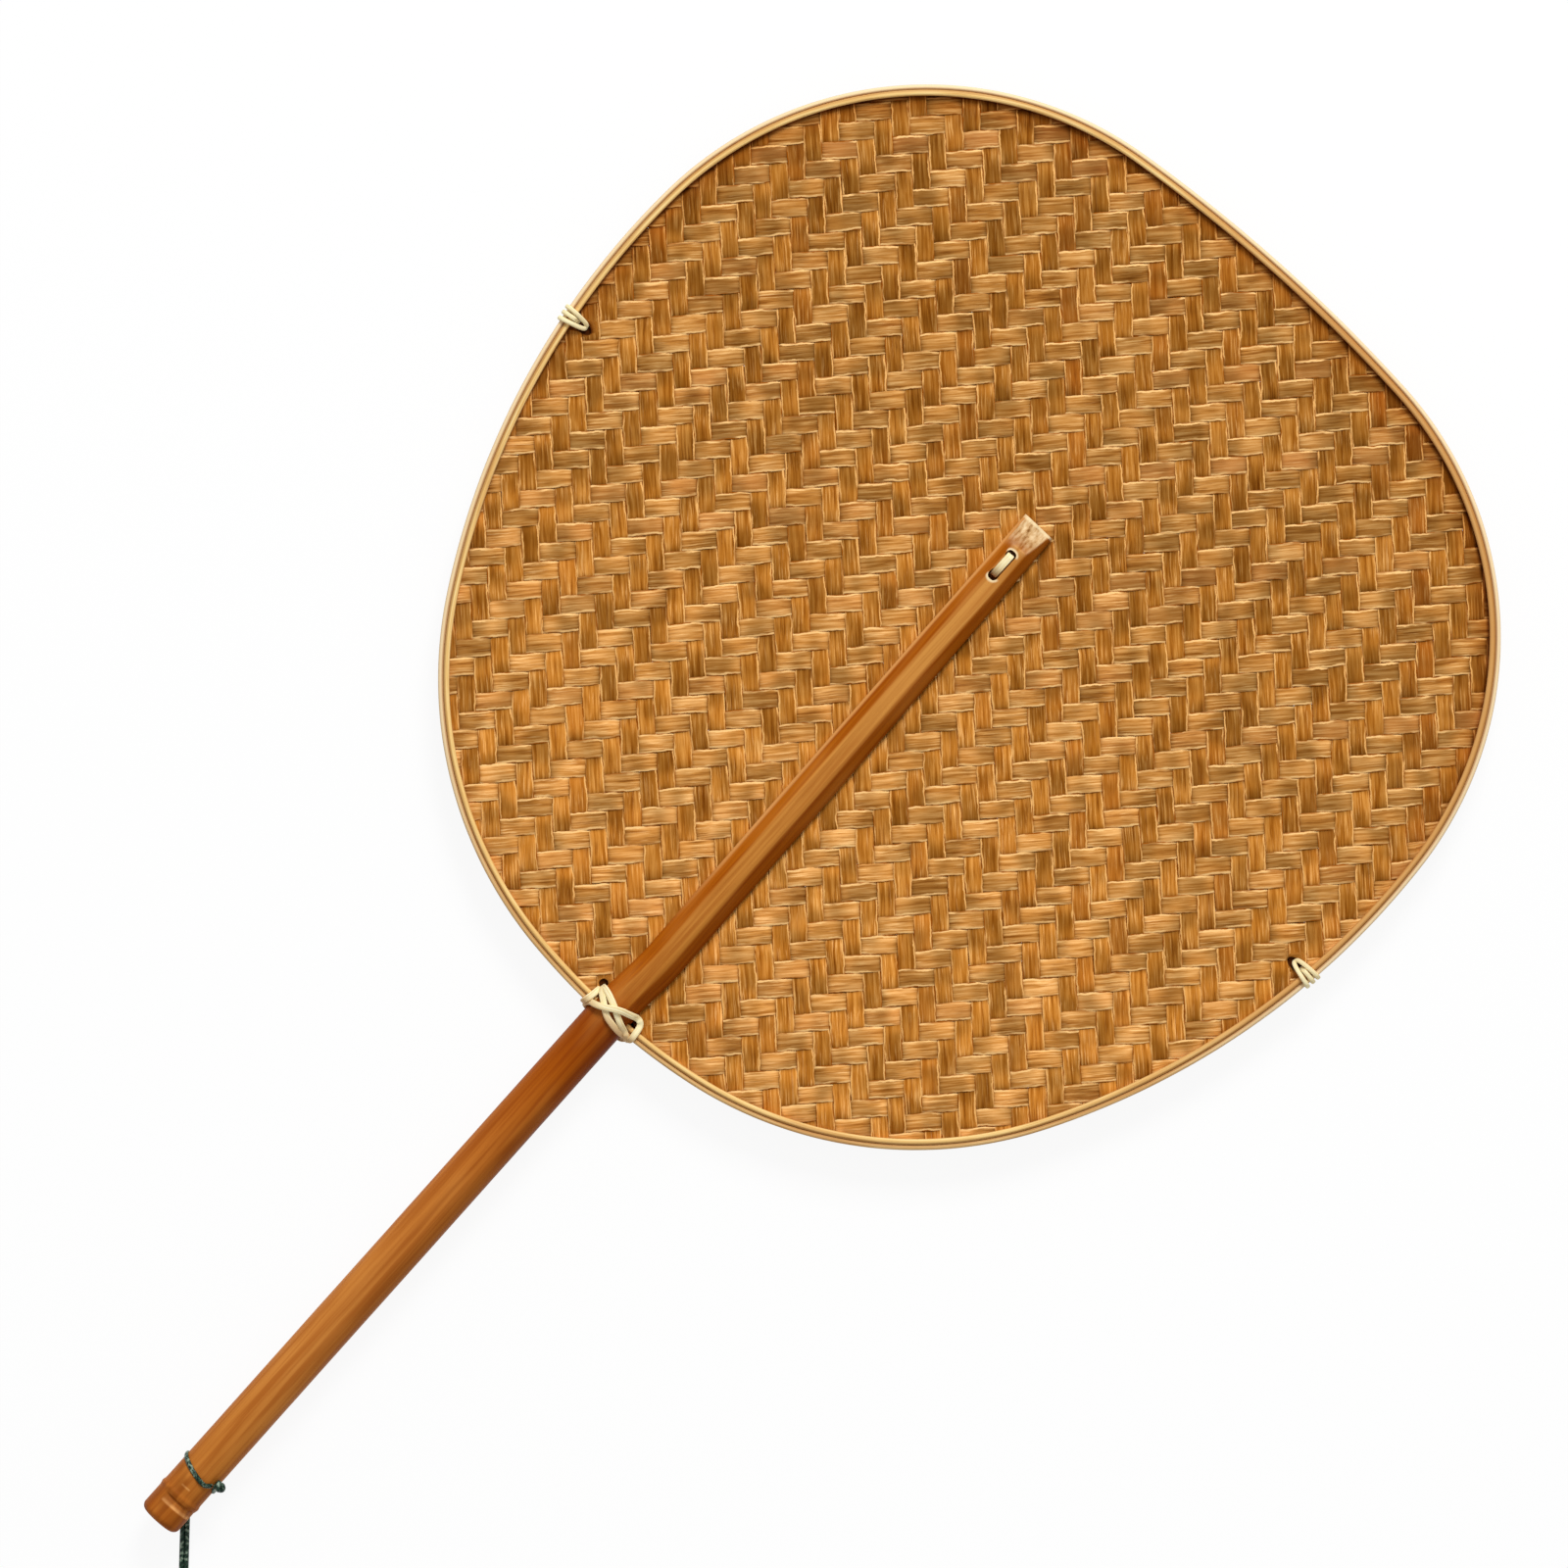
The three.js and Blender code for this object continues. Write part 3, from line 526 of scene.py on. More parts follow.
HOLE_FROM, HOLE_TO = 0.0, 2.0  # above the panel's middle: the awl opens the strips that lie in front
STRIP_SIDES = 37  # strips on each side of the middle one
STRIP_HALF_LENGTH = 165.0
STRIP_STEPS = 250
STRIP_SPARE = 3.6  # what a strip reaches past the outline before its end is cut back to it
STRIP_THICKNESS = 0.5
STRIP_EDGE = 0.2  # height of the bevel that the splitting knife leaves along both edges
STRIP_BEVEL = 2.4  # how many times wider than high it is
STRIP_LIFT = 0.44
STRIP_WANDER = 0.7
SEED_STEP = 7.31
GROWN_CREASE = 35


def blade_arcs():
    """The bends of the outline up the right side: centre, radius, and the heading that each runs to."""
    arcs = []
    x, y, heading = 0.0, 0.0, 0.0
    for radius, turn in BENDS + ((None, CROWN_TURN),):
        start = math.radians(heading)
        radius = radius or x / math.sin(start)
        centre = (x - radius * math.sin(start), y + radius * math.cos(start))
        arcs.append((centre, radius, heading + turn))
        heading += turn
        stop = math.radians(heading)
        x, y = centre[0] + radius * math.sin(stop), centre[1] - radius * math.cos(stop)
    return arcs


ARCS = blade_arcs()


def outline_point(heading, inset):
    """A point of the outline, moved inwards; headings past 180 degrees come down the left side."""
    left = heading > 180
    turned = 360 - heading if left else heading
    centre, radius, _ = next((arc for arc in ARCS if turned <= arc[2] + 1e-9), ARCS[-1])
    angle = math.radians(turned)
    x = centre[0] + (radius - inset) * math.sin(angle)
    return (-x if left else x, centre[1] - (radius - inset) * math.cos(angle))


def tree_inputs(tree, **names):
    """Named inputs of a tree, listed by kind, and the node that brings them in."""
    for kind, listed in names.items():
        for name in listed.split(", "):
            tree.interface.new_socket(name, in_out="INPUT", socket_type="NodeSocket" + kind)
    tree.interface.new_socket("Geometry", in_out="OUTPUT", socket_type="NodeSocketGeometry")
    return tree.nodes.new("NodeGroupInput").outputs


def xyz(x=0.0, y=0.0, z=0.0):
    return result("ShaderNodeCombineXYZ", {0: x, 1: y, 2: z})


def store(geometry, name, value):
    feeds = {"Geometry": geometry, "Name": name, "Value": value}
    return result("GeometryNodeStoreNamedAttribute", feeds, data_type="FLOAT", domain="POINT")


def kept(tree, name, kind="FLOAT"):
    return result("GeometryNodeInputNamedAttribute", {"Name": name}, tree, data_type=kind)


def moved(geometry, **feeds):
    return result("GeometryNodeSetPosition", {"Geometry": geometry, **feeds})


def rounded_section(width, height, radius, points):
    """A rectangle whose corners are taken off, with a number of points on each."""
    box = result(
        "GeometryNodeCurvePrimitiveQuadrilateral", {"Width": width, "Height": height}, mode="RECTANGLE"
    )
    feeds = {"Curve": box, "Radius": radius, "Count": points}
    return result("GeometryNodeFilletCurve", feeds, mode="POLY")


def sweep(line, section, scale):
    """The closed shape that a section makes along a line."""
    return result("GeometryNodeCurveToMesh", {
        "Curve": line, "Profile Curve": section, "Scale": scale, "Fill Caps": True,
    })


def close_tree(geometry, material):
    """The last nodes of a tree: smooth faces, real geometry, and the material."""
    smooth = result("GeometryNodeSetShadeSmooth", {"Geometry": geometry})
    real = result("GeometryNodeRealizeInstances", {"Geometry": smooth})
    dressed = result("GeometryNodeSetMaterial", {"Geometry": real, "Material": material})
    add_node("NodeGroupOutput", {"Geometry": dressed})


def woven_strips_tree():
    """Parallel strips that wave over and under the strips across them, cut off at the blade's outline."""
    tree = bpy.data.node_groups.new("woven strips", "GeometryNodeTree")
    given = tree_inputs(
        tree, Int="Strips, Steps", Vector="First strip, Next strip, Centre",
        Float="Half length, Crossing, Twill start, Width, Thickness, Edge, Bevel, Lift, Wander, Seed, Turn",
        Object="Outline", Material="Material",
    )
    starts = result("GeometryNodeMeshLine", {
        "Count": given["Strips"], "Start Location": given["First strip"], "Offset": given["Next strip"],
    }, mode="OFFSET")
    one = result("GeometryNodeCurvePrimitiveLine", {
        "Start": xyz(times(given["Half length"], -1.0)), "End": xyz(given["Half length"]),
    })
    one = result("GeometryNodeResampleCurve", {"Curve": one, "Count": given["Steps"]})
    laid = result("GeometryNodeInstanceOnPoints", {"Points": starts, "Instance": one})
    laid = result("GeometryNodeRealizeInstances", {"Geometry": laid})

    spot = result("GeometryNodeInputPosition", tree=tree)
    x, y, z = split(spot)
    next_x, next_y, _ = split(given["Next strip"])
    number = reckon("ROUND", reckon("DIVIDE", y, next_y))
    run = reckon("SUBTRACT", x, times(number, next_x))
    phase = reckon("SUBTRACT", reckon("DIVIDE", run, given["Crossing"]), number)
    phase = reckon("ADD", phase, given["Twill start"])
    swing = reckon("COSINE", times(phase, math.pi / 2))
    wave = span(swing, -0.8, 0.8, -1.0, 1.0)
    for name, value in (("strip_number", number), ("strip_along", run), ("strip_lift", wave)):
        laid = store(laid, name, value)
    number, run, lift = (kept(tree, name) for name in ("strip_number", "strip_along", "strip_lift"))

    seed = times(given["Seed"], SEED_STEP)
    drift = fibres(xyz(x, number, seed), (80.0, 0.45, 1.0), 1.0, 0.5)
    drift = times(reckon("SUBTRACT", drift, 0.5), given["Wander"])
    laid = moved(laid, Offset=xyz(0.0, drift, times(lift, given["Lift"])))
    laid = result("GeometryNodeTransform", {
        "Geometry": laid, "Translation": given["Centre"], "Rotation": xyz(0.0, 0.0, given["Turn"]),
    })

    blade = add_node("GeometryNodeObjectInfo", {"Object": given["Outline"]}).outputs["Geometry"]
    below = result("ShaderNodeVectorMath", {0: spot, 1: (0, 0, -1)}, operation="ADD")
    inside = add_node("GeometryNodeRaycast", {
        "Target Geometry": blade, "Source Position": below, "Ray Direction": (0, 0, 1), "Ray Length": 2.0,
    }).outputs["Is Hit"]
    outside = reckon("SUBTRACT", 1.0, inside)
    edge = add_node("GeometryNodeProximity", {"Geometry": blade}, target_element="EDGES").outputs
    far = times(outside, reckon("GREATER_THAN", edge["Distance"], STRIP_SPARE * MM))
    laid = result("GeometryNodeDeleteGeometry", {"Geometry": laid, "Selection": far}, domain="POINT")
    laid = result("GeometryNodeSetCurveNormal", {"Curve": laid}, mode="Z_UP")

    section = rounded_section(given["Width"], given["Thickness"], given["Edge"], 1)
    half_width = times(given["Width"], 0.5)
    from_edge = reckon("SUBTRACT", half_width, reckon("ABSOLUTE", x))
    bevelled = reckon("SUBTRACT", half_width, times(from_edge, given["Bevel"]))
    bevelled = times(bevelled, reckon("SIGN", x))
    section = moved(section, Position=xyz(bevelled, y))
    section = store(section, "strip_across", reckon("DIVIDE", x, half_width))
    uneven = fibres(xyz(run, number, seed), (150.0, 3.3, 1.0), 1.0, 0.5)
    strips = sweep(laid, section, span(uneven, 0.3, 0.7, 0.95, 1.03))
    edge_x, edge_y, _ = split(edge["Position"])
    strips = moved(strips, Selection=outside, Position=xyz(edge_x, edge_y, z))
    faces_up = split(result("GeometryNodeInputNormal", tree=tree))[2]
    strips = store(strips, "strip_face", reckon("SIGN", faces_up))
    strips = store(strips, "strip_from_edge", edge["Distance"])
    close_tree(strips, given["Material"])
    return tree


def grow(name, tree, values):
    """A piece grown by a tree from its named inputs, turned into a plain mesh."""
    piece = put(name, bpy.data.meshes.new(name))
    growth = piece.modifiers.new("growth", "NODES")
    growth.node_group = tree
    sockets = {item.name: item.identifier for item in tree.interface.items_tree if item.in_out == "INPUT"}
    for key, value in values.items():
        growth[sockets[key]] = value
    settle(piece)
    piece.data.set_sharp_from_angle(angle=math.radians(GROWN_CREASE))
    return piece


def carried(finish, name):
    """A value that the piece's points carry."""
    return add_node("ShaderNodeAttribute", tree=finish.node_tree, attribute_name=name).outputs["Fac"]


def strip_finish(name, tones, edge_colour, edge_from, reddened, roughness):
    """Split bamboo: long fibres, a tone for each strip and float, pale cut edges that are partly painted
    highlight, and painted shade in the gaps, at the floats' ends, by the rim and in the holes.
    """
    finish, shader, part = new_finish(name, 0.015)
    part_x, part_y, _ = split(part)
    up_blade = reckon("SUBTRACT", part_y, times(part_x, 0.3))
    number, along, across, lift, face, from_edge = (
        carried(finish, "strip_" + what)
        for what in ("number", "along", "across", "lift", "face", "from_edge")
    )
    strip_place = xyz(along, across, number)

    def grain(along_scale, across_scale, number_scale, detail):
        return fibres(strip_place, (along_scale, across_scale, number_scale), detail)

    streak = grain(70, 3.0, 5.17, 4.0)
    thread = grain(110, 6.0, 3.71, 3.0)
    float_tone = grain(95, 0.2, 7.13, 1.0)
    strip_tone = grain(6, 0.05, 9.77, 0.0)
    bold = span(grain(100, 0.2, 4.39, 1.0), 0.35, 0.62, 0.25, 1.0)
    colour = ramp(streak, tones)
    red_share = times(span(strip_tone, 0.5, 0.75, 0.0, 0.5), span(part_y, 0.0, 0.18, 0.4, 1.0))
    colour = blend(red_share, colour, reddened)
    pale_thread = times(span(thread, 0.53, 0.67, 0.0, 0.55), bold)
    colour = blend(pale_thread, colour, edge_colour)
    dark_thread = times(span(thread, 0.34, 0.47, 0.65, 0.0), bold)
    colour = blend(dark_thread, colour, (176, 148, 108), "MULTIPLY")
    # Each float's own tone, times painted shade where a strip dives under a crossing one, times a gradient
    # that is brighter towards the neck and darker towards the crown. The darks are made warmer.
    shade = times(
        span(float_tone, 0.3, 0.7, 0.64, 1.28),
        span(times(lift, face), -0.6, 0.7, 0.42, 1.0),
        span(up_blade, NECK_Y * MM, -NECK_Y * 4.5 * MM, 1.25, 0.85),
    )
    warm_shade = result("ShaderNodeCombineColor", {
        0: shade, 1: reckon("POWER", shade, 1.06), 2: reckon("POWER", shade, 1.3),
    })
    colour = blend(1.0, colour, warm_shade, "MULTIPLY")
    # Pale cut edges: partly the paler split edge, present in places, and partly painted highlight along the
    # bevels.
    ragged = span(grain(240, 0.9, 6.1, 3.0), 0.3, 0.7, -0.08, 0.08)
    rim = reckon("ADD", reckon("ABSOLUTE", across), ragged)
    wear_and_highlight = span(grain(110, 0.6, 2.3, 2.0), 0.38, 0.6, 0.1, 0.95)
    cut_edge_and_highlight = times(span(rim, edge_from, edge_from + 0.08), wear_and_highlight)
    colour = blend(cut_edge_and_highlight, colour, edge_colour)
    # Painted shade in the gaps between neighbouring strips.
    gap_shade_strength = span(grain(90, 0.7, 8.3, 2.0), 0.36, 0.6, 0.7, 1.0)
    gap_shade = times(span(rim, 0.92, 0.97), gap_shade_strength)
    colour = blend(gap_shade, colour, (156, 82, 8))
    # Painted shadow of the rim on the panel just inside it, towards the crown: a dark band close to the rim
    # and a faint one further in.
    crown = span(up_blade, 0.06, 0.17)
    for reach, rim_shadow_colour in ((0.0024, (146, 84, 30)), (0.009, (226, 204, 170))):
        rim_shadow_share = times(span(from_edge, 0.0009, reach, 1.0, 0.0), crown)
        colour = blend(rim_shadow_share, colour, rim_shadow_colour, "MULTIPLY")
    # Painted shade on the lower strip that shows in each awl hole, and just round it.
    for hole in HOLES:
        from_hole = oval_reach(part, *hole)
        colour = blend(span(from_hole, 0.9, 1.15, 1.0, 0.0), colour, (70, 32, 8))
    dress(shader, colour, streak, roughness, reckon("ADD", thread, streak), 0.00012, 0.5)
    return finish


pale_finish = strip_finish(
    "pale_strips", [(0.3, 148, 86, 24), (0.48, 190, 128, 58), (0.66, 218, 162, 94)],
    edge_colour=(255, 206, 136), edge_from=0.72, reddened=(198, 126, 68), roughness=(0.44, 0.6),
)
dark_finish = strip_finish(
    "dark_strips", [(0.3, 138, 74, 8), (0.48, 174, 108, 34), (0.68, 202, 138, 62)],
    edge_colour=(250, 192, 116), edge_from=0.77, reddened=(172, 92, 26), roughness=(0.4, 0.56),
)

blade_points = [place(*outline_point(heading, PANEL_INSET), 0) for heading in range(360)]
blade_mesh = bpy.data.meshes.new("blade_outline")
blade_mesh.from_pydata(blade_points, [], [tuple(range(len(blade_points)))])
blade_outline = put("blade_outline", blade_mesh)
strips_tree = woven_strips_tree()


def weave(name, spacing, crossing, lean, turn, start, width, seed, finish):
    """One of the panel's two sets of strips: lean says where its next strip lies, in the set's own frame."""
    following = Vector((math.cos(lean), math.sin(lean), 0)) * spacing * MM
    strips = grow(name, strips_tree, {
        "Strips": 2 * STRIP_SIDES + 1, "Steps": STRIP_STEPS, "First strip": following * -STRIP_SIDES,
        "Next strip": following, "Half length": STRIP_HALF_LENGTH * MM, "Crossing": crossing * MM,
        "Twill start": start, "Width": width * MM, "Thickness": STRIP_THICKNESS * MM,
        "Edge": STRIP_EDGE * MM, "Bevel": STRIP_BEVEL, "Lift": STRIP_LIFT * MM, "Wander": STRIP_WANDER * MM,
        "Seed": seed, "Centre": WEAVE_CENTRE, "Turn": turn, "Outline": blade_outline, "Material": finish,
    })
    for hole in HOLES:
        cut_away(strips, *peg(*hole, HOLE_FROM, HOLE_TO), "MANIFOLD")
    strips.data.set_sharp_from_angle(angle=math.radians(GROWN_CREASE))
    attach(strips, "root")
    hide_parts("woven_panel")


weave_lean = DARK_TURN - PALE_TURN
weave(
    "pale_strips", PALE_SPACING, DARK_SPACING, weave_lean, PALE_TURN, PALE_START, PALE_WIDTH, seed=1.0,
    finish=pale_finish,
)
weave(
    "dark_strips", DARK_SPACING, PALE_SPACING, -weave_lean, DARK_TURN, DARK_START, DARK_WIDTH, seed=2.0,
    finish=dark_finish,
)
bpy.data.meshes.remove(blade_mesh)


# The rim is three bent hoops of split bamboo. A wide outer band goes round the panel's edge on end, and a
# thinner strip clamps the edge on the front and on the back. Their ends meet inside the neck.

BAND = (0.7, 0.0, 1.45, 4.6)  # inset and height of its middle, width seen from the front, height
FRONT_STRIP = (2.22, 1.8, 1.66, 1.6)
BACK_STRIP = (2.22, -1.8, 1.66, 1.6)
HOOP_STEPS = 720
HOOP_ROUNDING = 0.7
HOOP_CORNER_POINTS = 4
HOOP_JOINT = 0.15  # degrees of heading on each side of the neck that the hoop's ends stay clear of
HOOP_UNEVEN = 0.1


def laid_strip_tree():
    """A strip with a rounded section along a path, its broad side turned as the path's points say."""
    tree = bpy.data.node_groups.new("laid strip", "GeometryNodeTree")
    given = tree_inputs(
        tree, Object="Path", Float="Width, Thickness, Rounding, Uneven, Seed", Int="Corner points",
        Material="Material",
    )
    path = add_node("GeometryNodeObjectInfo", {"Object": given["Path"]}).outputs["Geometry"]
    line = result("GeometryNodeMeshToCurve", {"Mesh": path})
    outward = kept(tree, "outward", "FLOAT_VECTOR")
    line = result("GeometryNodeSetCurveNormal", {"Curve": line, "Normal": outward}, mode="FREE")
    length = add_node("GeometryNodeSplineParameter", tree=tree).outputs["Length"]
    line = store(line, "grain_along", length)
    section = rounded_section(given["Thickness"], given["Width"], given["Rounding"], given["Corner points"])
    out, side, _ = split(result("GeometryNodeInputPosition", tree=tree))
    for name, value, size in (("grain_across", side, "Width"), ("grain_out", out, "Thickness")):
        section = store(section, name, reckon("DIVIDE", value, times(given[size], 0.5)))
    swell = fibres(xyz(kept(tree, "grain_along"), given["Seed"]), (80.0, 1.0, 1.0), 2.0, 0.5)
    swell = times(reckon("SUBTRACT", swell, 0.5), given["Uneven"])
    strip = sweep(line, section, reckon("ADD", swell, 1.0))
    close_tree(strip, given["Material"])
    return tree


laid_tree = laid_strip_tree()


def lay(name, route, width, thickness, rounding, corner_points, uneven, seed, finish):
    """A strip laid along a route of points and outward directions."""
    line = bpy.data.meshes.new("route")
    line.from_pydata([at for at, _ in route], [(step, step + 1) for step in range(len(route) - 1)], [])
    outward = line.attributes.new("outward", "FLOAT_VECTOR", "POINT")
    outward.data.foreach_set("vector", [value for _, out in route for value in out.normalized()])
    path = put("route", line)
    piece = grow(name, laid_tree, {
        "Path": path, "Width": width * MM, "Thickness": thickness * MM, "Rounding": rounding * MM,
        "Corner points": corner_points, "Uneven": uneven, "Seed": seed, "Material": finish,
    })
    bpy.data.meshes.remove(line)
    return piece


def laid_grain(finish):
    """A laid strip's own place along, across and through it, and the last of these by itself."""
    along, across, out = (carried(finish, "grain_" + way) for way in ("along", "across", "out"))
    return xyz(along, across, out), out


def hoop_finish(name, tones, palest, direction, side_light_from, side_light_to, side_light_colour):
    """Split bamboo of the rim: painted shade darkens it away from its palest line across the width, and
    painted light turns it towards a given colour in one direction across the fan, paler on the band and
    darker on the clamping strips.
    """
    finish, shader, part = new_finish(name, 0.1)
    grain, out = laid_grain(finish)
    streak = fibres(grain, (45, 2.2, 2.2), 4.0, 0.6, 0.3)
    fine = fibres(grain, (160, 8, 8), 2.0)
    patch = fibres(grain, (22, 0.3, 0.3), 2.0, 0.5)
    colour = ramp(streak, tones)
    colour = blend(span(patch, 0.52, 0.74, 0.0, 0.5), colour, (214, 152, 82))
    colour = blend(span(fine, 0.6, 0.78, 0.0, 0.4), colour, (166, 104, 44))
    # Painted light and shade: the colour turns towards the given one in one direction across the fan.
    part_x, part_y, _ = split(part)
    over_fan = reckon("ADD", times(part_x, direction[0]), times(part_y, direction[1]))
    colour = blend(span(over_fan, side_light_from, side_light_to, 0.0, 0.8), colour, side_light_colour)
    # Painted shade on the rounded sides, away from the palest line.
    edge = span(reckon("ABSOLUTE", reckon("SUBTRACT", out, palest)), 0.3, 0.9, 0.0, 0.65)
    colour = blend(edge, colour, (178, 118, 56))
    dress(shader, colour, streak, (0.4, 0.56), reckon("ADD", fine, streak), 0.00008, 0.6)
    return finish


band_finish = hoop_finish(
    "band_bamboo", [(0.3, 200, 150, 90), (0.5, 230, 186, 122), (0.7, 250, 216, 156)],
    palest=0.3, direction=(-0.5, 1.0), side_light_from=-0.03, side_light_to=0.03, side_light_colour=(250, 224, 180),
)
strip_hoop_finish = hoop_finish(
    "clamp_bamboo", [(0.3, 220, 166, 90), (0.5, 248, 206, 130), (0.7, 255, 230, 166)],
    palest=-0.3, direction=(1.0, 0.8), side_light_from=0.125, side_light_to=0.21, side_light_colour=(208, 148, 82),
)


def hoop(name, sizes, seed, finish, replaced):
    inset, height, width, depth = sizes
    route = []
    for step in range(HOOP_STEPS + 1):
        heading = HOOP_JOINT + (360 - 2 * HOOP_JOINT) * step / HOOP_STEPS
        at = Vector(outline_point(heading, inset))
        out = at - Vector(outline_point(heading, inset + 1))
        route.append((place(at.x, at.y, height), Vector((out.x, out.y, 0))))
    piece = lay(name, route, depth, width, HOOP_ROUNDING, HOOP_CORNER_POINTS, HOOP_UNEVEN, seed, finish)
    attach(piece, "root")
    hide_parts(replaced)


hoop("outer_band", BAND, 1.0, band_finish, "rim_outer_band")
hoop("front_strip", FRONT_STRIP, 2.0, strip_hoop_finish, "rim_front_strip")
hoop("back_strip", BACK_STRIP, 3.0, strip_hoop_finish, "rim_back_strip")


# The rim's two side lashings are peeled rattan. Each goes three times round the rim through one hole that is
# pierced in the panel, close together in the hole and fanned out over the rim's outside.

STRAND_THICKNESS = 1.0
STRAND_ROUNDING = 0.42
STRAND_CORNER_POINTS = 3
STRAND_UNEVEN = 0.14
STRAND_PARTS = 12
STRAND_STEP = 0.3
SIDE_WIDTH = 1.25
SIDE_HEADING = 82.3
SIDE_TURNS = (  # of each turn: along the rim outside, along it in the hole, and how far in
    (-2.35, -0.7, 6.95), (-0.4, -0.5, 4.3), (1.4, -0.2, 6.95),
)
SIDE_SECTION = ((-0.6, 0.0), (0.15, 2.7), (1.6, 3.2), (3.2, 3.1), (5.0, 2.15), (6.4, 1.1), (6.95, 0.0))
SIDE_TAIL = 3  # rows of the section that the strand's two ends run along behind the rim
SIDE_BOWED = (1.2, 0.9)  # from the outline to short of the hole's end, the stretch where the strand lies flat
RIM_INNER = 3.2


def smooth_line(points, parts):
    """A curve through the points that doesn't overshoot where they are unevenly spaced."""

    def between(first, second, low, high, t):
        return first * ((high - t) / (high - low)) + second * ((t - low) / (high - low))

    ends = [points[0] * 2 - points[1]] + points + [points[-1] * 2 - points[-2]]
    line = []
    for a, b, c, d in zip(ends, ends[1:], ends[2:], ends[3:]):
        knots = [0.0]
        for near, far in ((a, b), (b, c), (c, d)):
            knots.append(knots[-1] + (far - near).length ** 0.5)
        t0, t1, t2, t3 = knots
        for part in range(parts):
            t = t1 + (t2 - t1) * part / parts
            bc = between(b, c, t1, t2, t)
            abc = between(between(a, b, t0, t1, t), bc, t0, t2, t)
            bcd = between(bc, between(c, d, t2, t3, t), t1, t3, t)
            line.append(between(abc, bcd, t1, t2, t))
    return line + [points[-1]]


def even_steps(line, step):
    """The same line with points at equal distances, and its length."""
    runs = [0.0]
    for near, far in zip(line, line[1:]):
        runs.append(runs[-1] + (far - near).length)
    count = max(2, round(runs[-1] / step))
    spaced, index = [], 0
    for number in range(count + 1):
        goal = runs[-1] * number / count
        while index < len(runs) - 2 and runs[index + 1] < goal:
            index += 1
        share = (goal - runs[index]) / max(runs[index + 1] - runs[index], 1e-9)
        spaced.append(line[index].lerp(line[index + 1], min(share, 1.0)))
    return spaced, runs[-1]


def row(x, y, z, facing):
    """A strand's place and the way that its broad side faces, in one row so that both are smoothed alike."""
    return Vector((x, y, z, *Vector(facing).normalized()))


rattan, shader, part = new_finish("peeled_rattan", 0.1)
grain, _ = laid_grain(rattan)
streak = fibres(grain, (90, 2.6, 2.6), 3.0)
fine = fibres(grain, (300, 7, 7), 2.0)
colour = ramp(streak, [(0.3, 234, 206, 146), (0.5, 252, 236, 184), (0.7, 255, 248, 212)])
colour = blend(span(fine, 0.58, 0.75, 0.0, 0.4), colour, (190, 150, 92))
up_fan = split(part)[1]
# Painted shade: the strands turn tan towards the low side of the neck.
neck_shade = span(up_fan, level(-0.6), level(2.8), 0.75, 0.0)
colour = blend(neck_shade, colour, (214, 164, 108))
# Painted shade where the tip strap goes down into its lower slot.
slot_shade = times(
    span(up_fan, level(TIE_LEGS[0] + 0.6), level(TIE_LEGS[0] + 4.5), 0.7, 0.0),
    span(up_fan, level(150), level(151)),
)
colour = blend(slot_shade, colour, (186, 146, 94))
dress(shader, colour, streak, (0.45, 0.6), reckon("ADD", fine, streak), 0.00008, 0.6)


def strand(name, rows, width, seed, replaced):
    """A rattan strand laid smoothly through its rows."""
    spots, _ = even_steps(smooth_line(rows, STRAND_PARTS), STRAND_STEP)
    route = [(place(*spot[:3]), Vector(spot[3:])) for spot in spots]
    piece = lay(
        name, route, width, STRAND_THICKNESS, STRAND_ROUNDING, STRAND_CORNER_POINTS, STRAND_UNEVEN,
        seed, rattan,
    )
    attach(piece, "root")
    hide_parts(replaced)


def side_lashing(left):
    """Rows of a strand that goes over the rim's front into the hole and comes back behind it."""
    heading = 360 - SIDE_HEADING if left else SIDE_HEADING
    origin = Vector(outline_point(heading, 0))
    inside = Vector(outline_point(heading, 1)) - origin
    along = Vector((0, 1)) - inside * inside.y

    def across_rim(inset, height, share, outside, in_hole, hole):
        if inset > RIM_INNER:
            inset = RIM_INNER + (inset - RIM_INNER) * (hole - RIM_INNER) / (SIDE_SECTION[-1][0] - RIM_INNER)
        spot = origin + inside * inset + along * (outside + (in_hole - outside) * share ** 2)
        out = inside * (inset - min(max(inset, SIDE_BOWED[0]), hole - SIDE_BOWED[1]))
        return row(spot.x, spot.y, height, (out.x, out.y, height))

    rows = []
    last = len(SIDE_SECTION) - 1
    for turn, (outside, in_hole, hole) in enumerate(SIDE_TURNS):
        for step, (inset, height) in enumerate(SIDE_SECTION):
            rows.append(across_rim(inset, height, step / last, outside, in_hole, hole))
        next_outside = SIDE_TURNS[min(turn + 1, len(SIDE_TURNS) - 1)][0]
        for step in range(last - 1, 0, -1):
            inset, height = SIDE_SECTION[step]
            rows.append(across_rim(inset, -height, step / last, next_outside, in_hole, hole))
    behind = SIDE_SECTION[SIDE_TAIL:0:-1]
    return [across_rim(inset, -height, 0, *SIDE_TURNS[0]) for inset, height in behind] + rows[:-SIDE_TAIL]


strand("left_rim_lashing", side_lashing(True), SIDE_WIDTH, 1.0, "left_lashing")
strand("right_rim_lashing", side_lashing(False), SIDE_WIDTH, 2.0, "right_lashing")


# The neck lashing is one rattan strand that binds rod, rim and panel. Two strands run from the left hole
# down over the rod, one wraps the rim at the left, and the last bows round the right hole over both.

NECK_WIDTH = 1.85
ROD_REACH = 6.8
LAYER = 0.95


def on_rod(side, x, y, layer=0.0):
    """A row on the rod's front or back, at a place across and along it and a layer above other strands."""
    z = side * math.sqrt((ROD_REACH + LAYER * layer) ** 2 - x ** 2)
    return row(x, y, z, (x, 0, z))


def over_rod(*spots):
    return [on_rod(1, *spot) for spot in spots]


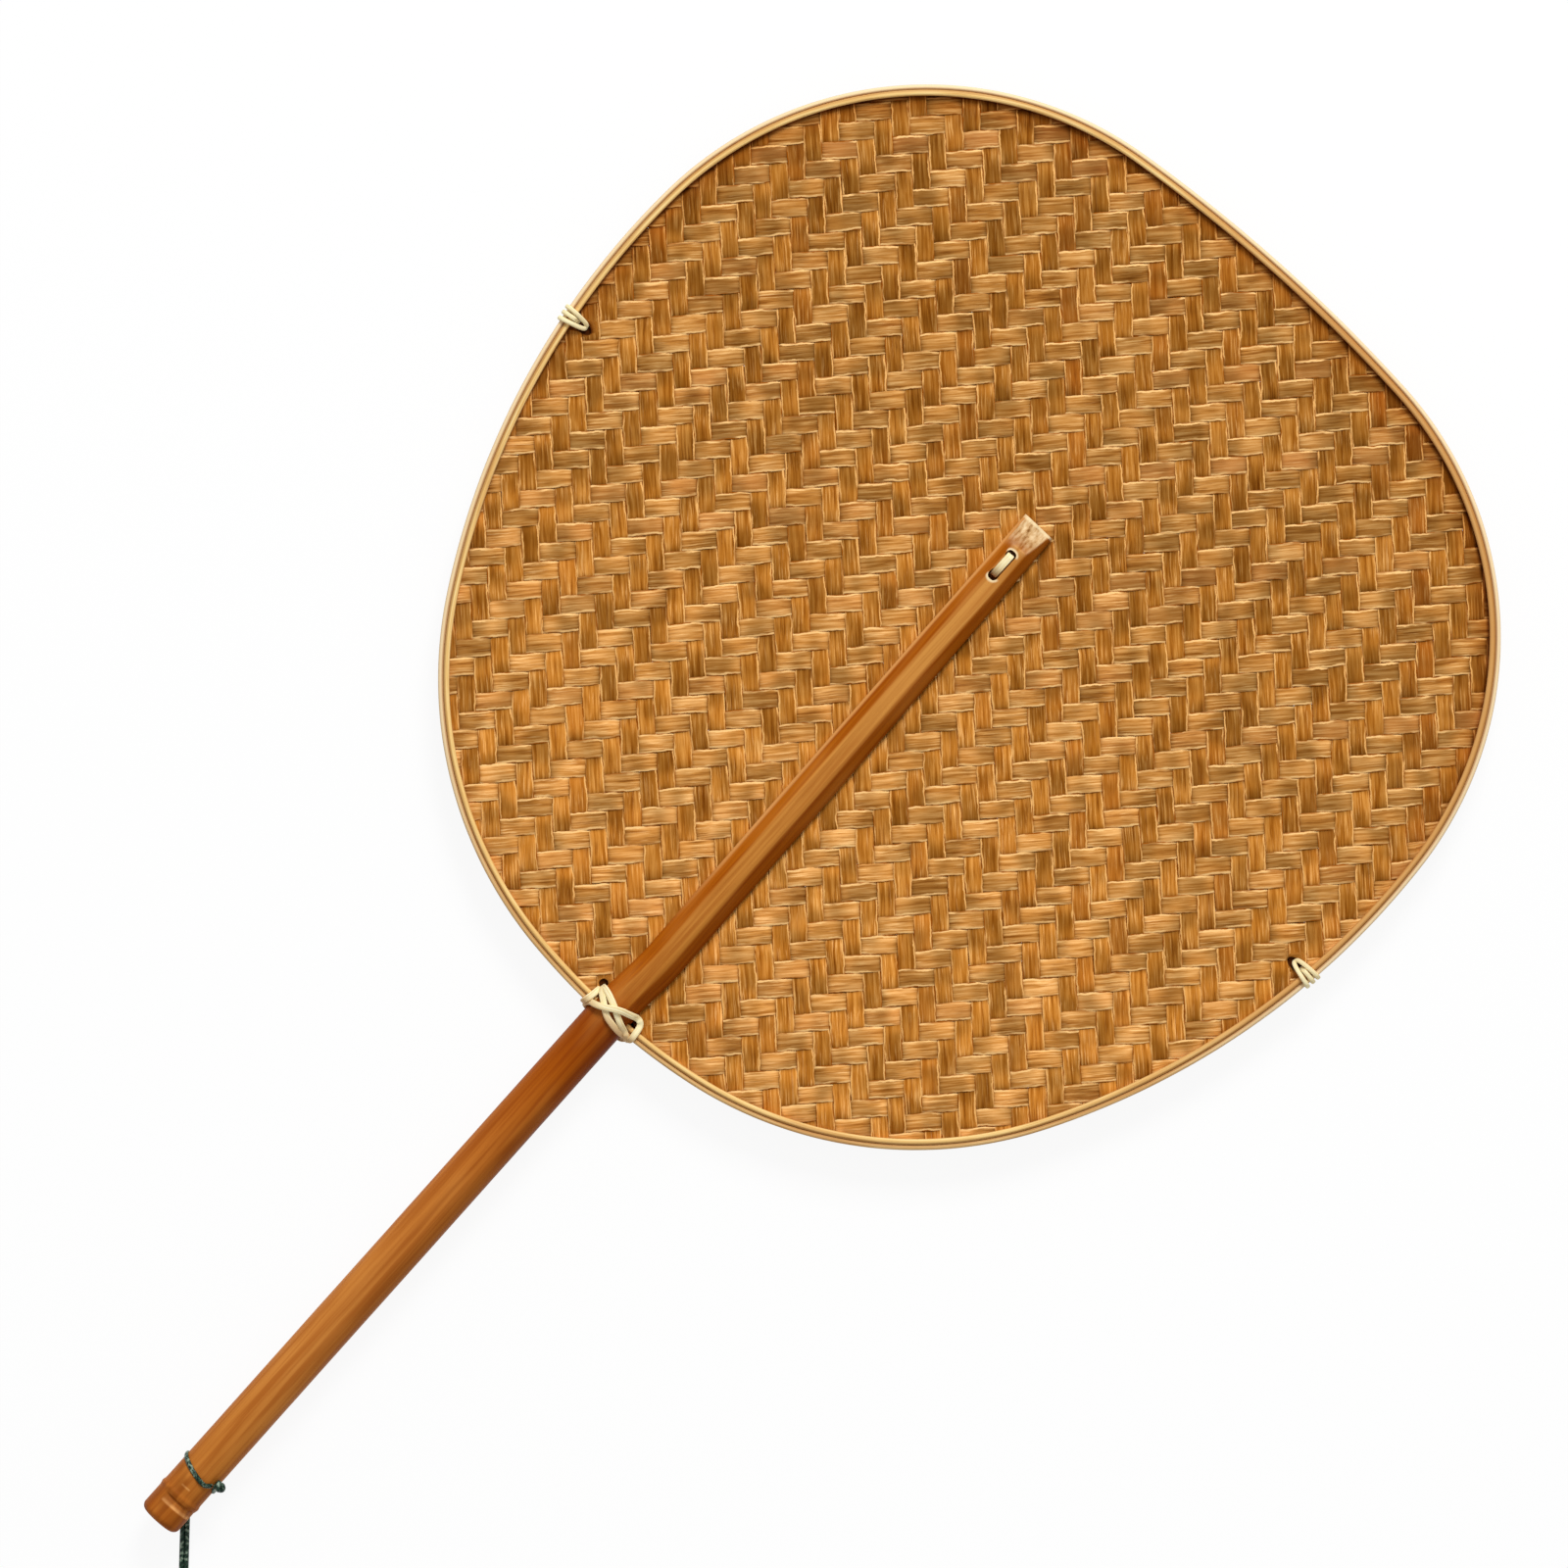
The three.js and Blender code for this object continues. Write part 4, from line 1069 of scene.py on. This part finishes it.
def behind_rod(*spots):
    return [on_rod(-1, *spot) for spot in spots]


first_end = behind_rod((0.6, 7.8), (-2, 7.6), (-4.2, 7.4), (-6, 7.2))
upper_strand = [
    row(-6.4, 6.0, 0, (-1, 0.2, 0)),
    *over_rod((-5.6, 6.15), (-4, 5.75), (-2, 4.95), (0, 4.0), (2, 2.8, 0.15), (4, 1.75, 0.3), (6, 0.95, 0.2)),
    row(7.1, 0.3, 3.05, (0.5, -0.2, 1)), row(7.7, -0.35, 2, (0.2, -1, 0.7)), row(7.9, -0.62, 0, (0, -1, 0)),
]
upper_return = [
    row(7.5, -0.2, -2.2, (0.2, -0.8, -0.8)),
    *behind_rod((6, 0.9), (4, 2), (2, 3), (0, 4), (-2, 4.9), (-4, 5.7), (-6, 6.2)),
]
lower_strand = [
    row(-6.6, 5.2, 0, (-1, 0.2, 0)),
    *over_rod((-6.0, 5.05), (-5.2, 4.5), (-4, 3.6), (-3, 2.85), (-2, 2.05), (-1, 1.4), (0, 0.85)),
    *over_rod((2, 0.3), (4, 0.0), (5.6, -0.1)),
    row(6.6, -0.1, 1.6, (1, -0.6, 0.4)), row(6.95, -0.2, 0, (0.9, -0.6, 0)),
]
lower_return = [
    row(6.6, -0.6, -1.6, (1, -0.3, -0.4)),
    *behind_rod((5.6, -0.4), (4, 0), (2, 0.5), (0, 1.1), (-2, 2), (-4, 3.2), (-5.6, 4.4)),
]
left_wrap = [
    row(-6.7, 5.2, -0.3, (-0.3, 1, 0)), row(-6.75, 4.9, 1.2, (-0.2, 0.6, 0.8)),
    row(-6.9, 3.9, 2.6, (0, 0.3, 1)), row(-7.1, 2.6, 3.25, (0, 0, 1)), row(-7.4, 1.3, 3.6, (0, 0, 1)),
    row(-7.65, 0.1, 3.1, (0, -0.4, 1)), row(-7.75, -0.3, 1.6, (0, -1, 0.5)), row(-7.75, -0.5, 0, (0, -1, 0)),
]
below_neck = [
    row(-7.6, -0.6, -2, (-0.2, -1, -0.6)),
    *behind_rod((-6.2, -0.9), (-4, -1.5), (-2, -1.9), (0, -2.1), (2, -2.1), (4, -1.9, 0.6), (6, -1.5, 1)),
    row(8.15, -0.7, -2.2, (0.4, -1, -0.4)),
]
right_bow = [
    row(8.3, -0.4, 0, (0.2, -1, 0)), row(8.6, -0.1, 2.2, (0.2, -0.9, 0.6)), row(8.85, 0.8, 3.2, (0, -0.2, 1)),
    row(8.7, 2.4, 3.3, (0, 0, 1)), row(8.55, 3.7, 3, (0, 0, 1)), row(8.2, 4.9, 2.6, (0, 0, 1)),
    row(7.45, 5.7, 2.8, (0.3, 0, 1)),
    *over_rod((6.2, 5.9, 0.15), (5, 5.6, 0.2), (3.4, 5.15, 0.4), (2, 4.75, 0.9), (0, 3.8, 1), (-2, 2.6, 1)),
    *over_rod((-3.6, 1.75, 1), (-5, 1.2, 0.6), (-6.2, 0.8, 0.1)),
    row(-6.9, 0.2, 2, (-0.8, -0.4, 0.6)), row(-7.05, -0.55, 0, (-0.7, -0.8, 0)),
]
last_end = [
    row(-6.6, -0.3, -1.8, (-1, 0, -0.4)), *behind_rod((-5.2, 0.3), (-3.8, 0.5), (-2.4, 0.5)),
]
neck_rows = first_end + upper_strand + upper_return + lower_strand + lower_return
neck_rows += left_wrap + below_neck + right_bow + last_end
strand("neck_binding", neck_rows, NECK_WIDTH, 3.0, "neck_lashing")


# The tip tie is a flat rattan strap through two slots near the leaf's tip. It lies in a recess on the front,
# and its ends are folded over each other behind.

TIE_WIDTH = 2.15
TIE_THICKNESS = 0.9
TIE_ROUNDING = 0.25
TIE_UNEVEN = 0.08
TIE_FRONT = 5.55
TIE_BACK = (-6.55, -8.05)
TIE_TAIL_Y = 165.6
TIE_BEND = 0.9
TIE_PULLED = 2.2  # the wider bend where the strap comes up to the front
TIE_BEND_STEPS = 8


def tie_route():
    """Straight runs in the handle's middle plane with rounded corners between them."""
    low, high = TIE_LEGS
    inner, outer = TIE_BACK
    corners = [(Vector(corner), bend) for *corner, bend in (
        (TIE_TAIL_Y, inner, 0), (low, inner, TIE_BEND), (low, TIE_FRONT, TIE_PULLED),
        (high, TIE_FRONT, TIE_BEND), (high, outer, TIE_BEND), (low, outer, 0),
    )]
    points = [corners[0][0]]
    for (before, _), (corner, bend), (after, _) in zip(corners, corners[1:], corners[2:]):
        back, on = (before - corner).normalized(), (after - corner).normalized()
        centre = corner + (back + on) * bend
        for step in range(TIE_BEND_STEPS + 1):
            angle = step / TIE_BEND_STEPS * math.pi / 2
            points.append(centre - on * bend * math.cos(angle) - back * bend * math.sin(angle))
    points.append(corners[-1][0])
    route = []
    for step, point in enumerate(points):
        run = points[min(step + 1, len(points) - 1)] - points[max(step - 1, 0)]
        route.append((place(TIE_X, point.x, point.y), Vector((0, -run.y, run.x))))
    return route


tie = lay(
    "tip_strap", tie_route(), TIE_WIDTH, TIE_THICKNESS, TIE_ROUNDING, STRAND_CORNER_POINTS, TIE_UNEVEN,
    seed=4.0, finish=rattan,
)
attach(tie, "root")
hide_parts("tip_tie")


# The hanging cord is a thin dark green braid. A ring of it is tied round the grip with a ball knot, and a
# doubled loop hangs from the ring; here it lies on the table past the butt.

CORD_RADIUS = 0.68
CORD_SIDES = 16
CORD_STEP = 0.25
CORD_CREASE = 80
BRAID_RELIEF = 0.07
BRAID_LENGTH = 2.6
BRAID_YARNS = 4
YARN_MEAN = 0.6  # of the yarns' height round the braid, so that its radius stays
COLLAR_Y = -165.7
COLLAR_TILT = 1.45  # its left side sits higher than its middle
COLLAR_SAG = 1.05  # and its front hangs lower
COLLAR_RADIUS = 6.32
COLLAR_PRESSED = 0.4  # how much flatter it is where it lies on the grip
COLLAR_STEPS = 180
COLLAR_GAP = math.radians(6)  # from the knot's middle to each end of the ring
COLLAR_TURN = math.radians(348)
COLLAR_DRAWN = (1.5, math.radians(13))  # how far under the knot's middle its ends are drawn, over what turn
KNOT_ANGLE = math.radians(36)
KNOT_REACH = 8.0
KNOT_Y = -164.8
KNOT_SIZE = 0.4
KNOT_HEIGHT = 2.1
KNOT_STEPS = 240
KNOT_DRAWN = 0.9  # what is left of the cord's thickness where it is pulled tight
LOOP_START = Vector((-5.15, -166.45))
LOOP_TURN = math.radians(40.2)
LOOP_PARTS = 24
LOOP_OUT = ((0.2, 0.65, 2.7), (3.2, 0.65, 1.9))  # along the loop, off its middle, and above the table
LOOP_BACK = ((1.4, 0.65, 2.1), (3.8, 0.65, 1.6))
LOOP_HALF = (
    (7, 0.65, 1.1), (12, 0.65, 0.75), (20, 0.65, 0.75), (32, 0.65, 0.75), (44, 0.65, 0.75), (56, 0.67, 0.75),
    (66, 1.1, 0.75), (75, 2.6, 0.75), (83, 4.7, 0.75), (90, 5.6, 0.75), (96, 4.3, 0.75),
)
LOOP_END = (98.6, 0, 0.75)


def braid_tube(name, line, radius, finish, loop=False, pressed=0.0):
    """A tube along a line whose surface has the crossing yarns of a round braid."""
    rings, marks = [], []
    side = Vector((0, 0, 1))
    count = len(line)
    for number, point in enumerate(line):
        before = line[(number - 1) % count if loop else max(number - 1, 0)]
        after = line[(number + 1) % count if loop else min(number + 1, count - 1)]
        run = (after - before).normalized()
        side = (side - run * side.dot(run)).normalized()
        up = run.cross(side)
        twist = number * CORD_STEP / BRAID_LENGTH * 2 * math.pi
        from_rod = Vector((point.x, 0, point.z)).normalized()
        ring = []
        for corner in range(CORD_SIDES):
            angle = corner / CORD_SIDES * 2 * math.pi
            one = math.cos(BRAID_YARNS * angle + twist * 2)
            other = math.cos(BRAID_YARNS * angle - twist * 2 + math.pi)
            yarn = max(one, other)
            reach = radius * (1 + BRAID_RELIEF * (yarn - YARN_MEAN))
            off = (side * math.cos(angle) + up * math.sin(angle)) * reach
            ring.append(point + off - from_rod * off.dot(from_rod) * pressed)
            marks.append(yarn)
        rings.append(ring)
    points, faces = skin(rings, loop)
    piece = piece_from(name, [place(*point) for point in points], faces, finish, CORD_CREASE)
    yarns = piece.data.attributes.new("yarn", "FLOAT", "POINT")
    yarns.data.foreach_set("value", marks)
    return piece


green_braid, shader, part = new_finish("dark_green_braid", 0.35)
fleck_noise = fibres(part, (900, 900, 900), 3.0, 0.65)
# Painted shade in the hollows between the braid's yarns, lighter on their crests.
colour = ramp(span(carried(green_braid, "yarn"), -0.2, 1.0), [
    (0.0, 4, 16, 12), (0.55, 12, 42, 30), (1.0, 38, 80, 58),
])
# Pale flecks: painted sheen on the braid's fibres.
colour = blend(span(fleck_noise, 0.5, 0.64, 0.0, 0.7), colour, (164, 186, 162))
dress(shader, colour, fleck_noise, (0.32, 0.5), fleck_noise, 0.00006, 0.7)


def dress_cord(piece, replaced):
    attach(piece, "root")
    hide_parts(replaced)


collar_line = []
for step in range(COLLAR_STEPS + 1):
    angle = KNOT_ANGLE + COLLAR_GAP + COLLAR_TURN * step / COLLAR_STEPS
    collar_y = COLLAR_Y - COLLAR_TILT * math.cos(angle) - COLLAR_SAG * max(0.0, math.sin(angle))
    from_knot = min(step, COLLAR_STEPS - step) * COLLAR_TURN / COLLAR_STEPS
    collar_y += (KNOT_Y - COLLAR_DRAWN[0] - collar_y) * math.exp(-(from_knot / COLLAR_DRAWN[1]) ** 2)
    collar_line.append(Vector((COLLAR_RADIUS * math.cos(angle), collar_y, COLLAR_RADIUS * math.sin(angle))))
collar_even, _ = even_steps(collar_line, CORD_STEP)
collar = braid_tube("cord_ring", collar_even, CORD_RADIUS, green_braid, pressed=COLLAR_PRESSED)
dress_cord(collar, "cord_collar")

knot_centre = Vector((KNOT_REACH * math.cos(KNOT_ANGLE), KNOT_Y, KNOT_REACH * math.sin(KNOT_ANGLE)))
knot_line = []
for step in range(KNOT_STEPS):
    angle = step / KNOT_STEPS * 2 * math.pi
    wide = 2 + math.cos(3 * angle)
    knot_line.append(knot_centre + KNOT_SIZE * Vector(
        (wide * math.cos(2 * angle), KNOT_HEIGHT * math.sin(3 * angle), wide * math.sin(2 * angle))
    ))
knot_even, _ = even_steps(knot_line + [knot_line[0]], CORD_STEP)
knot = braid_tube("ball_knot", knot_even[:-1], CORD_RADIUS * KNOT_DRAWN, green_braid, loop=True)
dress_cord(knot, "cord_knot")

loop_route = [(distance, -offset, height) for distance, offset, height in LOOP_OUT + LOOP_HALF]
loop_route += [LOOP_END, *reversed(LOOP_BACK + LOOP_HALF)]
loop_along = Vector((math.sin(LOOP_TURN), -math.cos(LOOP_TURN)))
loop_across = Vector((math.cos(LOOP_TURN), math.sin(LOOP_TURN)))
loop_points = []
for distance, offset, height in loop_route:
    spot = LOOP_START + loop_along * distance + loop_across * offset
    loop_points.append(Vector((spot.x, spot.y, height - MIDDLE_Z)))
loop_line, loop_length = even_steps(smooth_line(loop_points, LOOP_PARTS), CORD_STEP)
cord_loop = braid_tube("hanging_cord", loop_line, CORD_RADIUS, green_braid)
dress_cord(cord_loop, "cord_loop")
